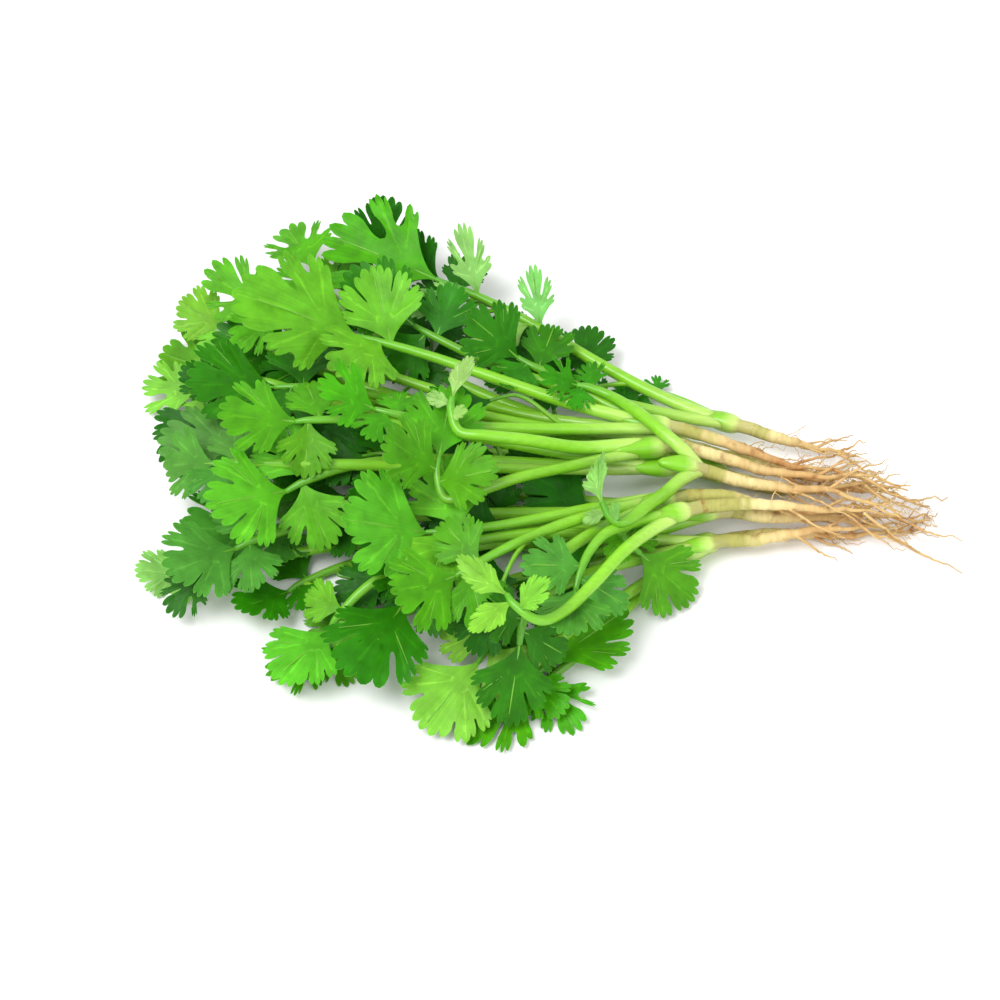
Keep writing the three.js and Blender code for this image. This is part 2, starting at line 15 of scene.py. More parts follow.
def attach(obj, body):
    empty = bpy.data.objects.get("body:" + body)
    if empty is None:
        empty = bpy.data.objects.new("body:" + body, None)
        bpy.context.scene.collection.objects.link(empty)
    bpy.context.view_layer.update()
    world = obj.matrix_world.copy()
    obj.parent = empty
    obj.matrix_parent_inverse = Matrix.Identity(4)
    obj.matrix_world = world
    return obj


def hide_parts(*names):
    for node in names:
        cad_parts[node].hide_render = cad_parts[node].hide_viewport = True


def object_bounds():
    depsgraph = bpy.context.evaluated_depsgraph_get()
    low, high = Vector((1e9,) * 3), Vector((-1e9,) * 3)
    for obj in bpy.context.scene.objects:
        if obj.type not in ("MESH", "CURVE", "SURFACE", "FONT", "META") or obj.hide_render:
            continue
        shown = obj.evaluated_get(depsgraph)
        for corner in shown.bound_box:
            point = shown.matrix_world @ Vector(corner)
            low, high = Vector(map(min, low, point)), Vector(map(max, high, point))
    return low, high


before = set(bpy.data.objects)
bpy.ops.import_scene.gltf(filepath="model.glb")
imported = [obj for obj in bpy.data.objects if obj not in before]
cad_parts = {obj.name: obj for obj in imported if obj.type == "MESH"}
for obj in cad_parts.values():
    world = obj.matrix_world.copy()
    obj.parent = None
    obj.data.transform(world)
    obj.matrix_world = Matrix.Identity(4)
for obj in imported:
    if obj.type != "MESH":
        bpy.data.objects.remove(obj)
CAD_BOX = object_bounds()

# ---------------------------------------------------------------- sizes shared with the solids
BLADE_THICKNESS = 0.7
CROWN_RADIUS = 3.1
STEM_BASE_RADIUS = 2.0
STEM_TIP_RADIUS = 0.95
ROOT_RADIUS = 2.6
ROOT_TIP_RADIUS = 0.6
ROOTLET_RADIUS = 0.55
ROOTLETS = 3
STEM_STEPS = 6
STEM_THINNING = 1.15
STEM_PARTING = 0.9
STEM_START = 0.38
STEM_ARRIVAL = 0.3
LONGEST_ARRIVAL = 26
STEM_BEND = 2.5
ROOT_STEPS = 5
ROOT_THINNING = 0.7
ROOT_SWING = 4
ROOT_BEND = 2
FIRST_ROOTLET = 2
ROOTLET_STEPS = 2
ROOTLET_SHORTEST = 11
ROOTLET_VARIES = 11
ROOTLET_SPREAD = 0.25
SPREAD_VARIES = 0.5
ROOTLET_DROP = 4
ROOTLET_BOW = 2
CLEARANCE = 0.45
STEM_SINK = 0.4
CROWN_SINK = 1.1
BLADE_SINK = 0.1
CROWN_REACH = 24
CROWN_LOOKS = 3
CROWN_SWINGS = (-0.15, 0, 0.15)
CROWN_SLOPE = 0.4
BUNCH_CENTRE = np.array([0.8, 6.6, 0.0])
LEAN = math.radians(55)
STALK_SHARE = 0.24
PAIR_SHARE = 0.56
SIDE_SHARE = 0.74
SIDE_TURN = 78
NARROW_FOLD = 0.55
STAGGER = 1.8
VEIN_START = 0.26
BLADE_REACH = 0.74
MAIN_CUT = 29
CORNERS = [(-96, 1.6), (-76, 0), (-60, 1), (-44, 0), (-MAIN_CUT, 1), (-12, 0)]
CORNERS = CORNERS + [(-degrees, depth) for degrees, depth in reversed(CORNERS)]
FORMS = {
    "broad": {"cut": 0.36, "tooth": 0.14, "taper": 1.0},
    "young": {"cut": 0.28, "tooth": 0.12, "taper": 0.9},
    "cut": {"cut": 0.5, "tooth": 0.22, "taper": 1.05},
    "fern": {"cut": 0.55, "tooth": 0.34, "taper": 1.3},
}
LEAF_STEP = 1
MOST_STEPS = 90
LOWEST_TIP = -24
HIGHEST_TIP = 48
TIP_STEP = 4
TIP_ROOM = 16
SAMPLE_STEP = 0.9
STRETCH_STEP = 1.2
MOST_PASSES = 120
SMALLEST_MOVE = 1e-3

# ---------------------------------------------------------------- the plants, lowest first


def leaf(at, point, face, size, form="broad", tone="mid", **more):
    """A leaf: its hub [along, up, height], where it points and faces, its size, cut and colour."""
    return {"at": at, "point": point, "face": face, "size": size, "form": form, "tone": tone, **more}


PLANTS = [
    ([58, -16, 2], [60, 4], [
        leaf([3, -52, 0.8], 214, [-8, 78], 28, "cut", "fresh"),
        leaf([-60, -42, 0.8], 210, [-10, 66], 21, "cut", "mid"),
        leaf([-72, -25, 0.8], 212, [0, 78], 22, tone="dark"),
    ]),
    ([54, -5, 2], [66, -3], [
        leaf([-105, -22, 1], 190, [-30, 70], 15, "young", "pale"),
        leaf([-78, -8, 0.8], 192, [-10, 78], 28, tone="blue"),
        leaf([-54, 2, 0.8], 190, [0, 80], 30, tone="dark"),
    ]),
    ([52, 16, 2], [56, -12], [
        leaf([-84, 16, 2], 175, [-30, 75], 27, tone="blue"),
        leaf([-56, 34, 0.8], 165, [10, 78], 30, tone="dark"),
        leaf([-96, 39, 4], 166, [-25, 70], 24, tone="mid"),
    ]),
    ([62, 6, 2], [58, -10], [
        leaf([-70, 70, 13], 118, [0, 66], 25, "cut", "mid"),
        leaf([-97, 53, 9], 150, [-30, 66], 18, "young", "light"),
        leaf([-72, 42, 6], 160, [-10, 76], 27, tone="dark"),
    ]),
    ([66, 20, 10], [34, -6], [
        leaf([-21, 66, 15], 158, [0, 66], 41, tone="fresh", stalk=13, pairs=2,
             side=0.56, lift=30, tip=0, turn=54, wide=[1, 0.55], side_tone="pale", fine="cut"),
        leaf([-34, 52, 9], 150, [0, 76], 27, tone="dark"),
        leaf([36, 34, 4], 172, [0, 76], 12, "fern", "deep"),
    ]),
    ([58, -11, 10], [54, -1], [
        leaf([-86, -12, 5], 204, [-15, 66], 27, tone="blue"),
        leaf([-60, -34, 4], 240, [-30, 56], 24, "young", "bright", side=0.55),
        leaf([13, -17, 4], 192, [0, 66], 16, "fern", "mid"),
    ]),
    ([50, 12, 10], [57, -14], [
        leaf([-103, 33, 7], 172, [-40, 61], 20, "cut", "light"),
        leaf([-82, 56, 11], 142, [-10, 66], 24, "cut", "bright"),
        leaf([-75, 35, 10], 180, [-10, 72], 30, tone="dark"),
    ]),
    ([56, -20, 7], [52, 6], [
        leaf([-3, -52, 3], 36, [0, 76], 28, tone="fresh", side=0.6),
        leaf([-15, -42, 4], 236, [-25, 54], 28, "young", "light", side=0.7),
        leaf([-37, -24, 6], 240, [-8, 62], 32, tone="dark", side=0.6),
    ]),
    ([46, 3, 12], [66, -8], [
        leaf([-93, 11, 6], 180, [-25, 63], 22, tone="blue"),
        leaf([-70, 6, 9], 208, [-5, 68], 31, tone="bright"),
        leaf([-68, 24, 10], 185, [0, 68], 24, tone="mid"),
    ]),
    ([44, 15, 15], [56, -16], [
        leaf([-48, 49, 13], 166, [0, 71], 41, tone="bright", side=0.68, turn=62),
        leaf([-2, 42, 9], 150, [0, 74], 24, tone="dark"),
        leaf([-45, 26, 12], 165, [10, 76], 22, "cut", "fresh"),
    ]),
    ([44, -9, 15], [61, -5], [
        leaf([-26, -9, 10], 184, [-5, 68], 35, "young", "bright"),
        leaf([-20, -19, 5], 210, [0, 68], 26, tone="mid"),
        leaf([-6, -36, 4], 262, [8, 64], 24, tone="dark"),
    ]),
    ([42, 8, 18], [70, -15], [
        leaf([-31, 7, 11], 85, [5, 68], 25, tone="mid", side=0.95),
        leaf([-27, 27, 13], 85, [-60, 50], 16, "young", "pale", side=0.5, lift=20, wide=[0.5, 0.6]),
    ]),
    ([48, -15, 14], [62, 2], [
        leaf([25, -12, 4], 318, [10, 61], 24, tone="mid", side=0.5),
        leaf([11, -21, 3], 255, [0, 71], 23, tone="blue"),
        leaf([-8, -30, 7], 128, [-50, 45], 18, "young", "light",
             side=0.85, lift=20, turn=100, wide=[0.5, 0.6]),
    ]),
    ([50, -1, 17], [60, -12], [
        leaf([15, 35, 6], 170, [0, 66], 15, "fern", "deep"),
        leaf([20, -5, 8], 118, [-55, 35], 21, "young", "pale", side=0.4, lift=20, wide=[0.45, 0.55]),
    ]),
]

# ---------------------------------------------------------------- small helpers
ALONG = np.array([1.0, 0, 0])
UP = np.array([0, math.sin(LEAN), math.cos(LEAN)])
OUT = np.array([0, -math.cos(LEAN), math.sin(LEAN)])


def unit(v):
    return v / np.linalg.norm(v)


def turned(v, axis, angle):
    """v turned about a unit axis."""
    c = math.cos(angle)
    return v * c + np.cross(axis, v) * math.sin(angle) + axis * float(v @ axis) * (1 - c)


def dice(seed):
    """A repeatable row of numbers from 0 to 1, the same as the solids use."""
    state = (seed * 7919 + 104729) % 2**32

    def roll():
        nonlocal state
        state = (state * 1664525 + 1013904223) % 2**32
        return state / 2**32

    return roll


def place(spot):
    along, up, height = spot
    return np.array([along, (up - height * UP[2]) / UP[1], height])


def bezier(guides, steps):
    """Points along a cubic curve at even parameters."""
    t = np.linspace(0, 1, steps + 1)[:, None]
    a, b, c, d = guides
    return a * (1 - t) ** 3 + 3 * b * t * (1 - t) ** 2 + 3 * c * t * t * (1 - t) + d * t**3


# ---------------------------------------------------------------- what already lies on the table
CELL = 1.0
FIELD_X = -170.0
FIELD_Y = -150.0
FIELD_COLUMNS = 330
FIELD_ROWS = 290
BLADE_MARGIN = 1.3
heights = np.full((FIELD_ROWS, FIELD_COLUMNS), -1e3)


def cells_under(at):
    """The row and the column of the cell that each point is in."""
    row = np.floor((at[:, 1] - FIELD_Y) / CELL).astype(int)
    column = np.floor((at[:, 0] - FIELD_X) / CELL).astype(int)
    return row, column


def cells_near(at, reach):
    """Rows and columns of the cells round each point, and how far each is from it."""
    span = math.ceil(reach / CELL)
    steps = np.arange(-span, span + 1)
    row, column = (each[:, None] + steps for each in cells_under(at))
    dx = FIELD_X + (column + 0.5) * CELL - at[:, 0, None]
    dy = FIELD_Y + (row + 0.5) * CELL - at[:, 1, None]
    away = np.hypot(dx[:, None, :], dy[:, :, None])
    rows = np.broadcast_to(row[:, :, None], away.shape)
    columns = np.broadcast_to(column[:, None, :], away.shape)
    return rows, columns, away


def lack_of(at, radius, sink=STEM_SINK):
    """How far each ball must rise to clear the table and the heap."""
    at = np.atleast_2d(at)
    radius = np.broadcast_to(radius, len(at))
    rows, columns, away = cells_near(at, radius.max() + CELL / 2)
    size = radius[:, None, None]
    drop = np.sqrt(np.maximum(size**2 - np.minimum(away, size) ** 2, 0))
    over = heights[rows, columns] + CLEARANCE - at[:, 2, None, None] + drop
    over[away > size + CELL / 2] = -np.inf
    return np.maximum(radius - sink - at[:, 2], over.max(axis=(1, 2)))


def ball_marks(at, radius):
    at = np.atleast_2d(at)
    radius = np.broadcast_to(radius, len(at))
    rows, columns, away = cells_near(at, radius.max() + CELL)
    size = radius[:, None, None]
    off = np.clip(away - CELL / 2, 0, size)
    tops = at[:, 2, None, None] + np.sqrt(size**2 - off**2)
    near = away <= size + CELL
    return rows[near], columns[near], tops[near]


def mark_blade(samples):
    rows, columns, away = cells_near(samples, BLADE_MARGIN)
    near = away <= BLADE_MARGIN
    tops = np.broadcast_to((samples[:, 2] + BLADE_THICKNESS / 2)[:, None, None], away.shape)
    np.maximum.at(heights, (rows[near], columns[near]), tops[near])


def blade_clears(samples):
    low = samples[:, 2] - BLADE_THICKNESS / 2
    return bool(np.all(low >= -BLADE_SINK) and np.all(low - CLEARANCE >= heights[cells_under(samples)]))


# ---------------------------------------------------------------- laying leaves
def leaf_axes(leaf):
    """Where a leaf points, its left, and where its upper side faces."""
    turn, rise = (math.radians(a) for a in leaf["face"])
    facing = [math.cos(rise) * math.sin(turn), -math.cos(rise) * math.cos(turn), math.sin(rise)]
    out = np.array(facing)
    heading = math.radians(leaf["point"])
    flat = ALONG * math.cos(heading) + UP * math.sin(heading)
    ahead = unit(flat - OUT * float(flat @ out) / float(OUT @ out))
    return ahead, np.cross(out, ahead), out


def leaflet_axes(axes, turn, tip, roll):
    ahead, left, out = axes
    ahead = turned(ahead, out, turn)
    left = turned(left, out, turn)
    ahead = turned(ahead, left, -tip)
    up = np.cross(ahead, left)
    return ahead, turned(left, ahead, roll), turned(up, ahead, roll)


def leaflets_of(leaf, seed):
    """The leaf's leaflets, not yet tipped, and the length of the end leaflet's stalk."""
    roll = dice(seed)
    end_wide, side_wide = leaf.get("wide", (1, 1))

    def spread(middle, share):
        return middle + (roll() * 2 - 1) * share

    def make(back, along, turn, length, lift, wide):
        own = {"back": back, "along": along, "length": length, "lift": lift, "wide": wide}
        return {
            **own,
            "turn": math.radians(turn),
            "roll": math.radians(spread(0, 8)),
            "form": leaf["form"],
            "fine": leaf.get("fine", leaf["form"]),
            "tone": leaf["tone"] if wide == end_wide else leaf.get("side_tone", leaf["tone"]),
            "droop": spread(0.1, 0.08),
            "fold": spread(0.1, 0.12) + (1 - wide) * NARROW_FOLD,
            "wave": spread(0.05, 0.02),
            "phase": spread(3, 3),
        }

    size = leaf["size"]
    stalk = leaf.get("stalk", size * STALK_SHARE)
    turn = spread(0, 6)
    leaflets = [make(0, stalk, turn, size, leaf.get("tip", LOWEST_TIP), end_wide)]
    for pair in range(leaf.get("pairs", 1)):
        for side in (1, -1):
            back = pair * size * PAIR_SHARE
            length = size * leaf.get("side", SIDE_SHARE) * spread(1, 0.08)
            turn = side * spread(leaf.get("turn", SIDE_TURN), 7)
            lift = leaf.get("lift", LOWEST_TIP)
            leaflets.append(make(back, side * STAGGER, turn, length, lift, side_wide))
    return leaflets, stalk


def blade_height(leaflet, x, y):
    """How far the arched and waved middle surface stands out at x along it and y to its left."""
    length = leaflet["length"]
    from_vein = x - VEIN_START * length
    away = np.hypot(from_vein, y) / length
    ripple = leaflet["wave"] * np.sin(3 * np.arctan2(y, from_vein) + leaflet["phase"]) * away
    bent = -leaflet["droop"] * (x / length) ** 2 + leaflet["fold"] * np.abs(y) / length
    return length * (bent + ripple * away)


def solid_outline(leaflet):
    """The middle and the rim of the solid blade, in the leaflet's own directions."""
    form = FORMS[leaflet["form"]]
    length = leaflet["length"]
    spots = [(VEIN_START * length, 0.0), (0.0, 0.0)]
    for degrees, depth in CORNERS:
        share = form["cut"] if abs(degrees) == MAIN_CUT else form["tooth"]
        envelope = BLADE_REACH * math.cos(math.radians(degrees / 2)) ** form["taper"]
        reach = envelope * (1 - depth * share) * length
        angle = math.radians(degrees)
        across = leaflet["wide"] * reach * math.sin(angle)
        spots.append((VEIN_START * length + reach * math.cos(angle), across))
    x, y = np.array(spots).T
    return np.column_stack([x, y, blade_height(leaflet, x, y)])


def solid_samples(leaflet):
    """Points over the solid blade, close enough to feel what lies below."""
    points = solid_outline(leaflet)
    middle, rim = points[0], points[1:]
    samples = []
    for a, b in zip(rim, np.roll(rim, -1, axis=0)):
        longest = max(np.linalg.norm(a - middle), np.linalg.norm(b - middle))
        rings = math.ceil(longest / SAMPLE_STEP)
        across = math.ceil(np.linalg.norm(a - b) / SAMPLE_STEP)
        edge = a + (b - a) * (np.arange(across) / across)[:, None]
        share = (np.arange(1, rings + 1) / rings)[:, None, None]
        samples.append((middle + (edge - middle) * share).reshape(-1, 3))
    return np.concatenate(samples)


def back_along(points, distance):
    """The point that far back along a stem from its end."""
    i = len(points) - 1
    left = distance
    while left > np.linalg.norm(points[i] - points[i - 1]):
        left -= np.linalg.norm(points[i] - points[i - 1])
        i -= 1
    return points[i] + (points[i - 1] - points[i]) * left / np.linalg.norm(points[i] - points[i - 1])


def tip_leaflet(leaflet, stem, axes):
    """Tips one leaflet up until it clears the heap; None where it can't."""
    base = back_along(stem, leaflet["back"]) + axes[0] * leaflet["along"]
    highest = max(HIGHEST_TIP, leaflet["lift"] + TIP_ROOM)
    for tip in range(leaflet["lift"], highest + 1, TIP_STEP):
        own = leaflet_axes(axes, leaflet["turn"], math.radians(tip), leaflet["roll"])
        samples = base + leaflet["samples"] @ np.array(own)
        if blade_clears(samples):
            return {**leaflet, "base": base, "axes": own, "laid": samples}
    return None


# ---------------------------------------------------------------- laying stems and roots
def stretch(points, radii, i):
    count = math.ceil(np.linalg.norm(points[i] - points[i + 1]) / STRETCH_STEP)
    share = np.arange(count + 1) / count
    at = points[i] + (points[i + 1] - points[i]) * share[:, None]
    return at, radii[i] + (radii[i + 1] - radii[i]) * share, share


def lay_strand(points, radii, rooted, held, bend):
    """Raises a strand's points until it clears the heap, bending no more than a stem can."""
    points = points.copy()
    last = len(points) - 1

    def lift(i, amount):
        if not (0 < i and (i < last or not held)) or amount < SMALLEST_MOVE:
            return False
        points[i, 2] += amount
        return True

    for _ in range(MOST_PASSES):
        moved = False
        for i in range(last):  # up where the table or the heap is in the way
            at, radius, share = stretch(points, radii, i)
            lack = lack_of(at, radius)
            if i == 0:
                lack[np.linalg.norm(at - points[0], axis=1) < rooted] = 0
            lack = np.maximum(lack, 0)
            moved = lift(i, float((lack * (1 - share)).max())) or moved
            moved = lift(i + 1, float((lack * share).max())) or moved
        for i in range(1, last):  # then up where the strand would bend too sharply
            sag = (points[i - 1, 2] + points[i + 1, 2]) / 2 - points[i, 2]
            moved = lift(i, sag - bend) or moved
            low = i - 1 if points[i - 1, 2] < points[i + 1, 2] else i + 1
            moved = lift(low, min(2 * (-sag - bend), points[i, 2] - points[low, 2])) or moved
        if not moved:
            return points
    return None


def strand_marks(points, radii):
    found = []
    for i in range(len(points) - 1):
        at, radius, _ = stretch(points, radii, i)
        found.append(ball_marks(at, radius))
    return found


def stem_radii():
    t = np.minimum(np.arange(STEM_STEPS + 1) / STEM_STEPS * STEM_THINNING, 1)
    return STEM_BASE_RADIUS + (STEM_TIP_RADIUS - STEM_BASE_RADIUS) * t


def root_radii():
    t = (np.arange(ROOT_STEPS + 1) / ROOT_STEPS) ** ROOT_THINNING
    return ROOT_RADIUS + (ROOT_TIP_RADIUS - ROOT_RADIUS) * t


def crown_rise(crown):
    rise = lack_of(crown, CROWN_RADIUS, CROWN_SINK)[0]
    runs = np.arange(-CROWN_REACH, CROWN_REACH + 1, CROWN_LOOKS)
    for swing in CROWN_SWINGS:
        at = crown + np.column_stack([runs, runs * swing, np.zeros(len(runs))])
        rise = max(rise, (lack_of(at, STEM_BASE_RADIUS) - CROWN_SLOPE * np.abs(runs)).max())
    return max(rise, 0)


def leaving(crown, hub):
    """The direction in which a stem leaves its crown for its leaf."""
    return unit(unit(hub - crown) + np.array([-STEM_PARTING, 0, 0]))


def lay_stem(crown, hub, ahead):
    distance = np.linalg.norm(hub - crown)
    leave = leaving(crown, hub)
    arrive = min(distance * STEM_ARRIVAL, LONGEST_ARRIVAL)
    guides = [crown, crown + leave * distance * STEM_START, hub - ahead * arrive, hub]
    return lay_strand(bezier(guides, STEM_STEPS), stem_radii(), CROWN_RADIUS + 1, True, STEM_BEND)


def lay_root(crown, root, seed):
    """The main root's points and its rootlets', laid from the crown."""
    roll = dice(seed)
    tip = np.array([crown[0] + root[0], crown[1] + root[1], ROOT_TIP_RADIUS])
    bend = (roll() * 2 - 1) * ROOT_SWING
    guides = [
        crown,
        crown + (tip - crown) * 0.33 + np.array([0, bend, 1]),
        crown + (tip - crown) * 0.68 - np.array([0, bend, 0]),
        tip,
    ]
    radii = root_radii()
    main = lay_strand(bezier(guides, ROOT_STEPS), radii, CROWN_RADIUS, False, ROOT_BEND)
    marks = strand_marks(main, radii)
    rootlets = []
    for i in range(ROOTLETS):
        start = FIRST_ROOTLET + i % (ROOT_STEPS - FIRST_ROOTLET)
        base = main[start]
        side = 1 if i % 2 else -1
        length = ROOTLET_SHORTEST + ROOTLET_VARIES * roll()
        across = side * length * (ROOTLET_SPREAD + SPREAD_VARIES * roll())
        end = base + np.array([length, across, 0])
        end[2] = max(base[2] - ROOTLET_DROP * roll(), ROOTLET_RADIUS)
        bow = [base, base + (end - base) * 0.3, base + (end - base) * 0.7, end]
        bow[1] = bow[1] + np.array([0, side * ROOTLET_BOW, 0])
        thin = np.full(ROOTLET_STEPS + 1, ROOTLET_RADIUS)
        path = lay_strand(bezier(bow, ROOTLET_STEPS), thin, radii[start] + 0.5, False, ROOT_BEND)
        marks += strand_marks(path, thin)
        rootlets.append(path)
    return main, rootlets, marks


def lay_leaf(leaf, crown, seed):
    """Raises a leaf out of the heap until its stem can reach it."""
    start = place(leaf["at"])
    axes = leaf_axes(leaf)
    leaflets, stalk = leaflets_of(leaf, seed)
    for leaflet in leaflets:
        leaflet["samples"] = solid_samples(leaflet)
    for step in range(MOST_STEPS):
        hub = start + OUT * step * LEAF_STEP
        if lack_of(hub, STEM_TIP_RADIUS)[0] > 0:
            continue
        stem = lay_stem(crown, hub, axes[0])
        if stem is None:
            continue
        tipped = []
        for leaflet in leaflets:
            found = tip_leaflet(leaflet, stem, axes)
            if found is None:
                break
            tipped.append(found)
        if len(tipped) == len(leaflets):
            return {"stem": stem, "leaflets": tipped, "stalk": hub + axes[0] * stalk, "leaf": leaf}
    raise ValueError(f"no room for the leaf at {leaf['at']}")


def lay_plant(number, crown, root, leaves):
    crown = np.array(crown, float)
    crown[2] += crown_rise(crown)
    marks = [ball_marks(crown, CROWN_RADIUS)]
    main, rootlets, root_marks = lay_root(crown, root, number + 100)
    marks += root_marks
    laid = []
    for k, each in enumerate(leaves):
        found = lay_leaf(each, crown, 10 * number + k)
        marks += strand_marks(found["stem"], stem_radii())
        for leaflet in found["leaflets"]:
            mark_blade(leaflet["laid"])
        laid.append(found)
    for rows, columns, tops in marks:
        np.maximum.at(heights, (rows, columns), tops)
    return {"number": number, "crown": crown, "main": main, "rootlets": rootlets, "leaves": laid}


# ---------------------------------------------------------------- shaded leaves inside the heap
# The solids stand in for fuller plants. These leaves branch off the same stems, in the room left.
ROOM_LOW = np.array([-150.0, -120.0, 0.0])
ROOM_SHAPE = np.array([300, 240, 80])  # cells, a millimetre across
ROOM_GAP = 1.1
SEVERAL = 99  # marks a cell that more than one plant fills
MOSTLY_CLEAR = 0.85
# For each kind: its stem's radius, how far from its start it may share its own plant's room, the
# share of a leaflet that lies under the heap's top, how many degrees its upper side faces up, its
# size, and how many are tried and wanted (for the gaps in all, otherwise for each plant).
SIDE = {
    "radius": 0.9, "shared": 7, "covered": 0.72, "rise": (52, 84), "size": (15, 26),
    "tries": 260, "most": 5,
}
LONG = {
    "radius": 1.35, "shared": 24, "covered": 0.72, "rise": (60, 86), "size": (18, 26),
    "tries": 160, "most": 2,
}
GAP = {
    "radius": 0.9, "shared": 7, "covered": 0.2, "rise": (74, 90), "size": (10, 21),
    "tries": 1500, "most": 24,
}
GAP_FROM = -80  # the stretch along X that is searched for gaps
GAP_TO = 26
GAP_MARGIN = 12  # how far inside the heap's edge a gap lies
FARTHEST_GAP = 26  # how far a gap may be from the nearest stem
FILLER_TIPS = (-14, 0, 14, 28)
FILLER_FORMS = ("broad", "broad", "cut", "young")
LOWEST_FILLER = 0.6
UNDER_TOP = 1
SIDE_STEPS = 8
LONG_STEPS = 14
room = np.zeros(ROOM_SHAPE, np.int16)


def room_cells(points):
    cells = np.floor(points - ROOM_LOW).astype(int)
    return tuple(np.clip(cells, 0, ROOM_SHAPE - 1).T)


def take_room(points, radius, number):
    """Notes which cells a plant fills, with a gap round them."""
    reach = radius + ROOM_GAP
    span = math.ceil(reach)
    steps = np.stack(np.meshgrid(*[np.arange(-span, span + 1)] * 3), -1).reshape(-1, 3)
    steps = steps[np.linalg.norm(steps, axis=1) <= reach]
    cells = room_cells((points[:, None] + steps).reshape(-1, 3))
    others = (room[cells] != 0) & (room[cells] != number)
    room[cells] = np.where(others, SEVERAL, number)


def along_strand(points):
    """The points of a strand with more between them, about a millimetre apart."""
    spots = []
    for a, b in zip(points, points[1:]):
        count = max(int(np.linalg.norm(b - a)), 1)
        spots.append(a + (b - a) * (np.arange(count) / count)[:, None])
    return np.concatenate(spots + [points[-1:]])


def take_plant(plant):
    for laid in plant["leaves"]:
        take_room(along_strand(laid["stem"]), STEM_BASE_RADIUS * 0.8, plant["number"])
        for leaflet in laid["leaflets"]:
            take_room(leaflet["laid"], 0, SEVERAL)
    take_room(along_strand(plant["main"]), ROOT_RADIUS * 0.7, plant["number"])
    for rootlet in plant["rootlets"]:
        take_room(along_strand(rootlet), ROOTLET_RADIUS, plant["number"])


def branch_fits(points, number, radius, shared):
    """Whether a stem is clear along most of its length; near its start its own plant doesn't count."""
    if np.any(points[:, 2] < radius * 0.9):
        return False
    found = room[room_cells(points)]
    near = np.linalg.norm(points - points[0], axis=1)
    own = (found == number) & (near < shared)
    clear = (found == 0) | own | (near < shared / 3)
    return bool(clear.mean() > MOSTLY_CLEAR)


def blade_fits(samples, covered_share):
    """Whether a leaflet is clear of everything and that share of it lies under the heap's top."""
    if np.any(samples[:, 2] < LOWEST_FILLER) or np.any(room[room_cells(samples)]):
        return False
    covered = heights[cells_under(samples)] > samples[:, 2] + UNDER_TOP
    return bool(covered.mean() >= covered_share)


def filler_leaflet(leaflet, hub, axes, covered_share):
    base = hub + axes[0] * leaflet["along"]
    for tip in FILLER_TIPS:
        own = leaflet_axes(axes, leaflet["turn"], math.radians(tip), leaflet["roll"])
        samples = base + solid_samples(leaflet) @ np.array(own)
        if blade_fits(samples, covered_share):
            return {**leaflet, "base": base, "axes": own, "laid": samples}
    return None


def heading_to(start, end):
    """The direction over the table from one point to another, in degrees."""
    return math.degrees(math.atan2(end[1] - start[1], end[0] - start[0]))


# Leaves laid inside the heap take the shade tone, a darker green that is painted shade.
def shaded(heading, face, size, form="broad"):
    return leaf([0, 0, 0], heading, face, size, form, "shade")


def finish_filler(kind, like, branch, number, random):
    """The filler on its stem, with its room taken; None where stem or end leaflet doesn't fit."""
    radius = kind["radius"]
    if not branch_fits(along_strand(branch), number, radius, kind["shared"]):
        return None
    hub = branch[-1]
    axes = leaf_axes(like)
    leaflets, stalk = leaflets_of(like, int(random.integers(10**6)))
    placed = [filler_leaflet(each, hub, axes, kind["covered"]) for each in leaflets]
    if placed[0] is None:
        return None
    placed = [each for each in placed if each is not None]
    take_room(along_strand(branch), radius, number)
    for each in placed:
        take_room(each["laid"], 0, SEVERAL)
    return {"stem": branch, "leaflets": placed, "stalk": hub + axes[0] * stalk, "radius": radius}


def side_filler(stem, number, random):
    """A small leaf that branches off a laid stem, where it finds room; None where it doesn't."""
    last = len(stem) - 1
    at = int(random.uniform(0.25, 0.98) * last)
    ahead = unit(stem[min(at + 1, last)] - stem[max(at - 1, 0)])
    heading = heading_to([0, 0], ahead) + random.normal(0, 50)
    length = random.uniform(6, 30)
    aside = np.array([math.cos(math.radians(heading)), math.sin(math.radians(heading)), 0])
    hub = stem[at] + aside * length + [0, 0, random.normal(-1, 6)]
    face = [random.normal(0, 18), random.uniform(*SIDE["rise"])]
    form = FILLER_FORMS[random.integers(len(FILLER_FORMS))]
    like = shaded(heading + random.normal(0, 25), face, random.uniform(*SIDE["size"]), form)
    arrive = hub - leaf_axes(like)[0] * length * 0.35
    branch = bezier([stem[at], stem[at] + ahead * length * 0.35, arrive, hub], SIDE_STEPS)
    return finish_filler(SIDE, like, branch, number, random)


def long_filler(plant, random):
    """A leaf on its own stem from the crown, low in the heap; None where it finds no room."""
    crown = plant["crown"]
    hub = np.array([random.uniform(-70, 5), crown[1] + random.normal(0, 20), random.uniform(1.5, 17)])
    heading = heading_to(crown, hub) + random.normal(0, 15)
    face = [random.normal(0, 14), random.uniform(*LONG["rise"])]
    like = shaded(heading, face, random.uniform(*LONG["size"]))
    distance = np.linalg.norm(hub - crown)
    first = crown + leaving(crown, hub) * distance * STEM_START + random.normal(0, 1, 3) * [2, 4, 3]
    branch = bezier([crown, first, hub - leaf_axes(like)[0] * distance * 0.2, hub], LONG_STEPS)
    branch[:, 2] = np.maximum(branch[:, 2], LONG["radius"])
    return finish_filler(LONG, like, branch, plant["number"], random)


def bare_spots():
    """Where the table would show inside the heap: [x, y] with something to both sides."""
    spots = []
    for column in range(int(GAP_FROM - FIELD_X), int(GAP_TO - FIELD_X)):
        filled = np.flatnonzero(heights[:, column] > 0)
        for row in range(filled[0] + GAP_MARGIN, filled[-1] - GAP_MARGIN):
            if heights[row, column] <= 0:
                spots.append([FIELD_X + column + 0.5, FIELD_Y + row + 0.5])
    return np.array(spots)


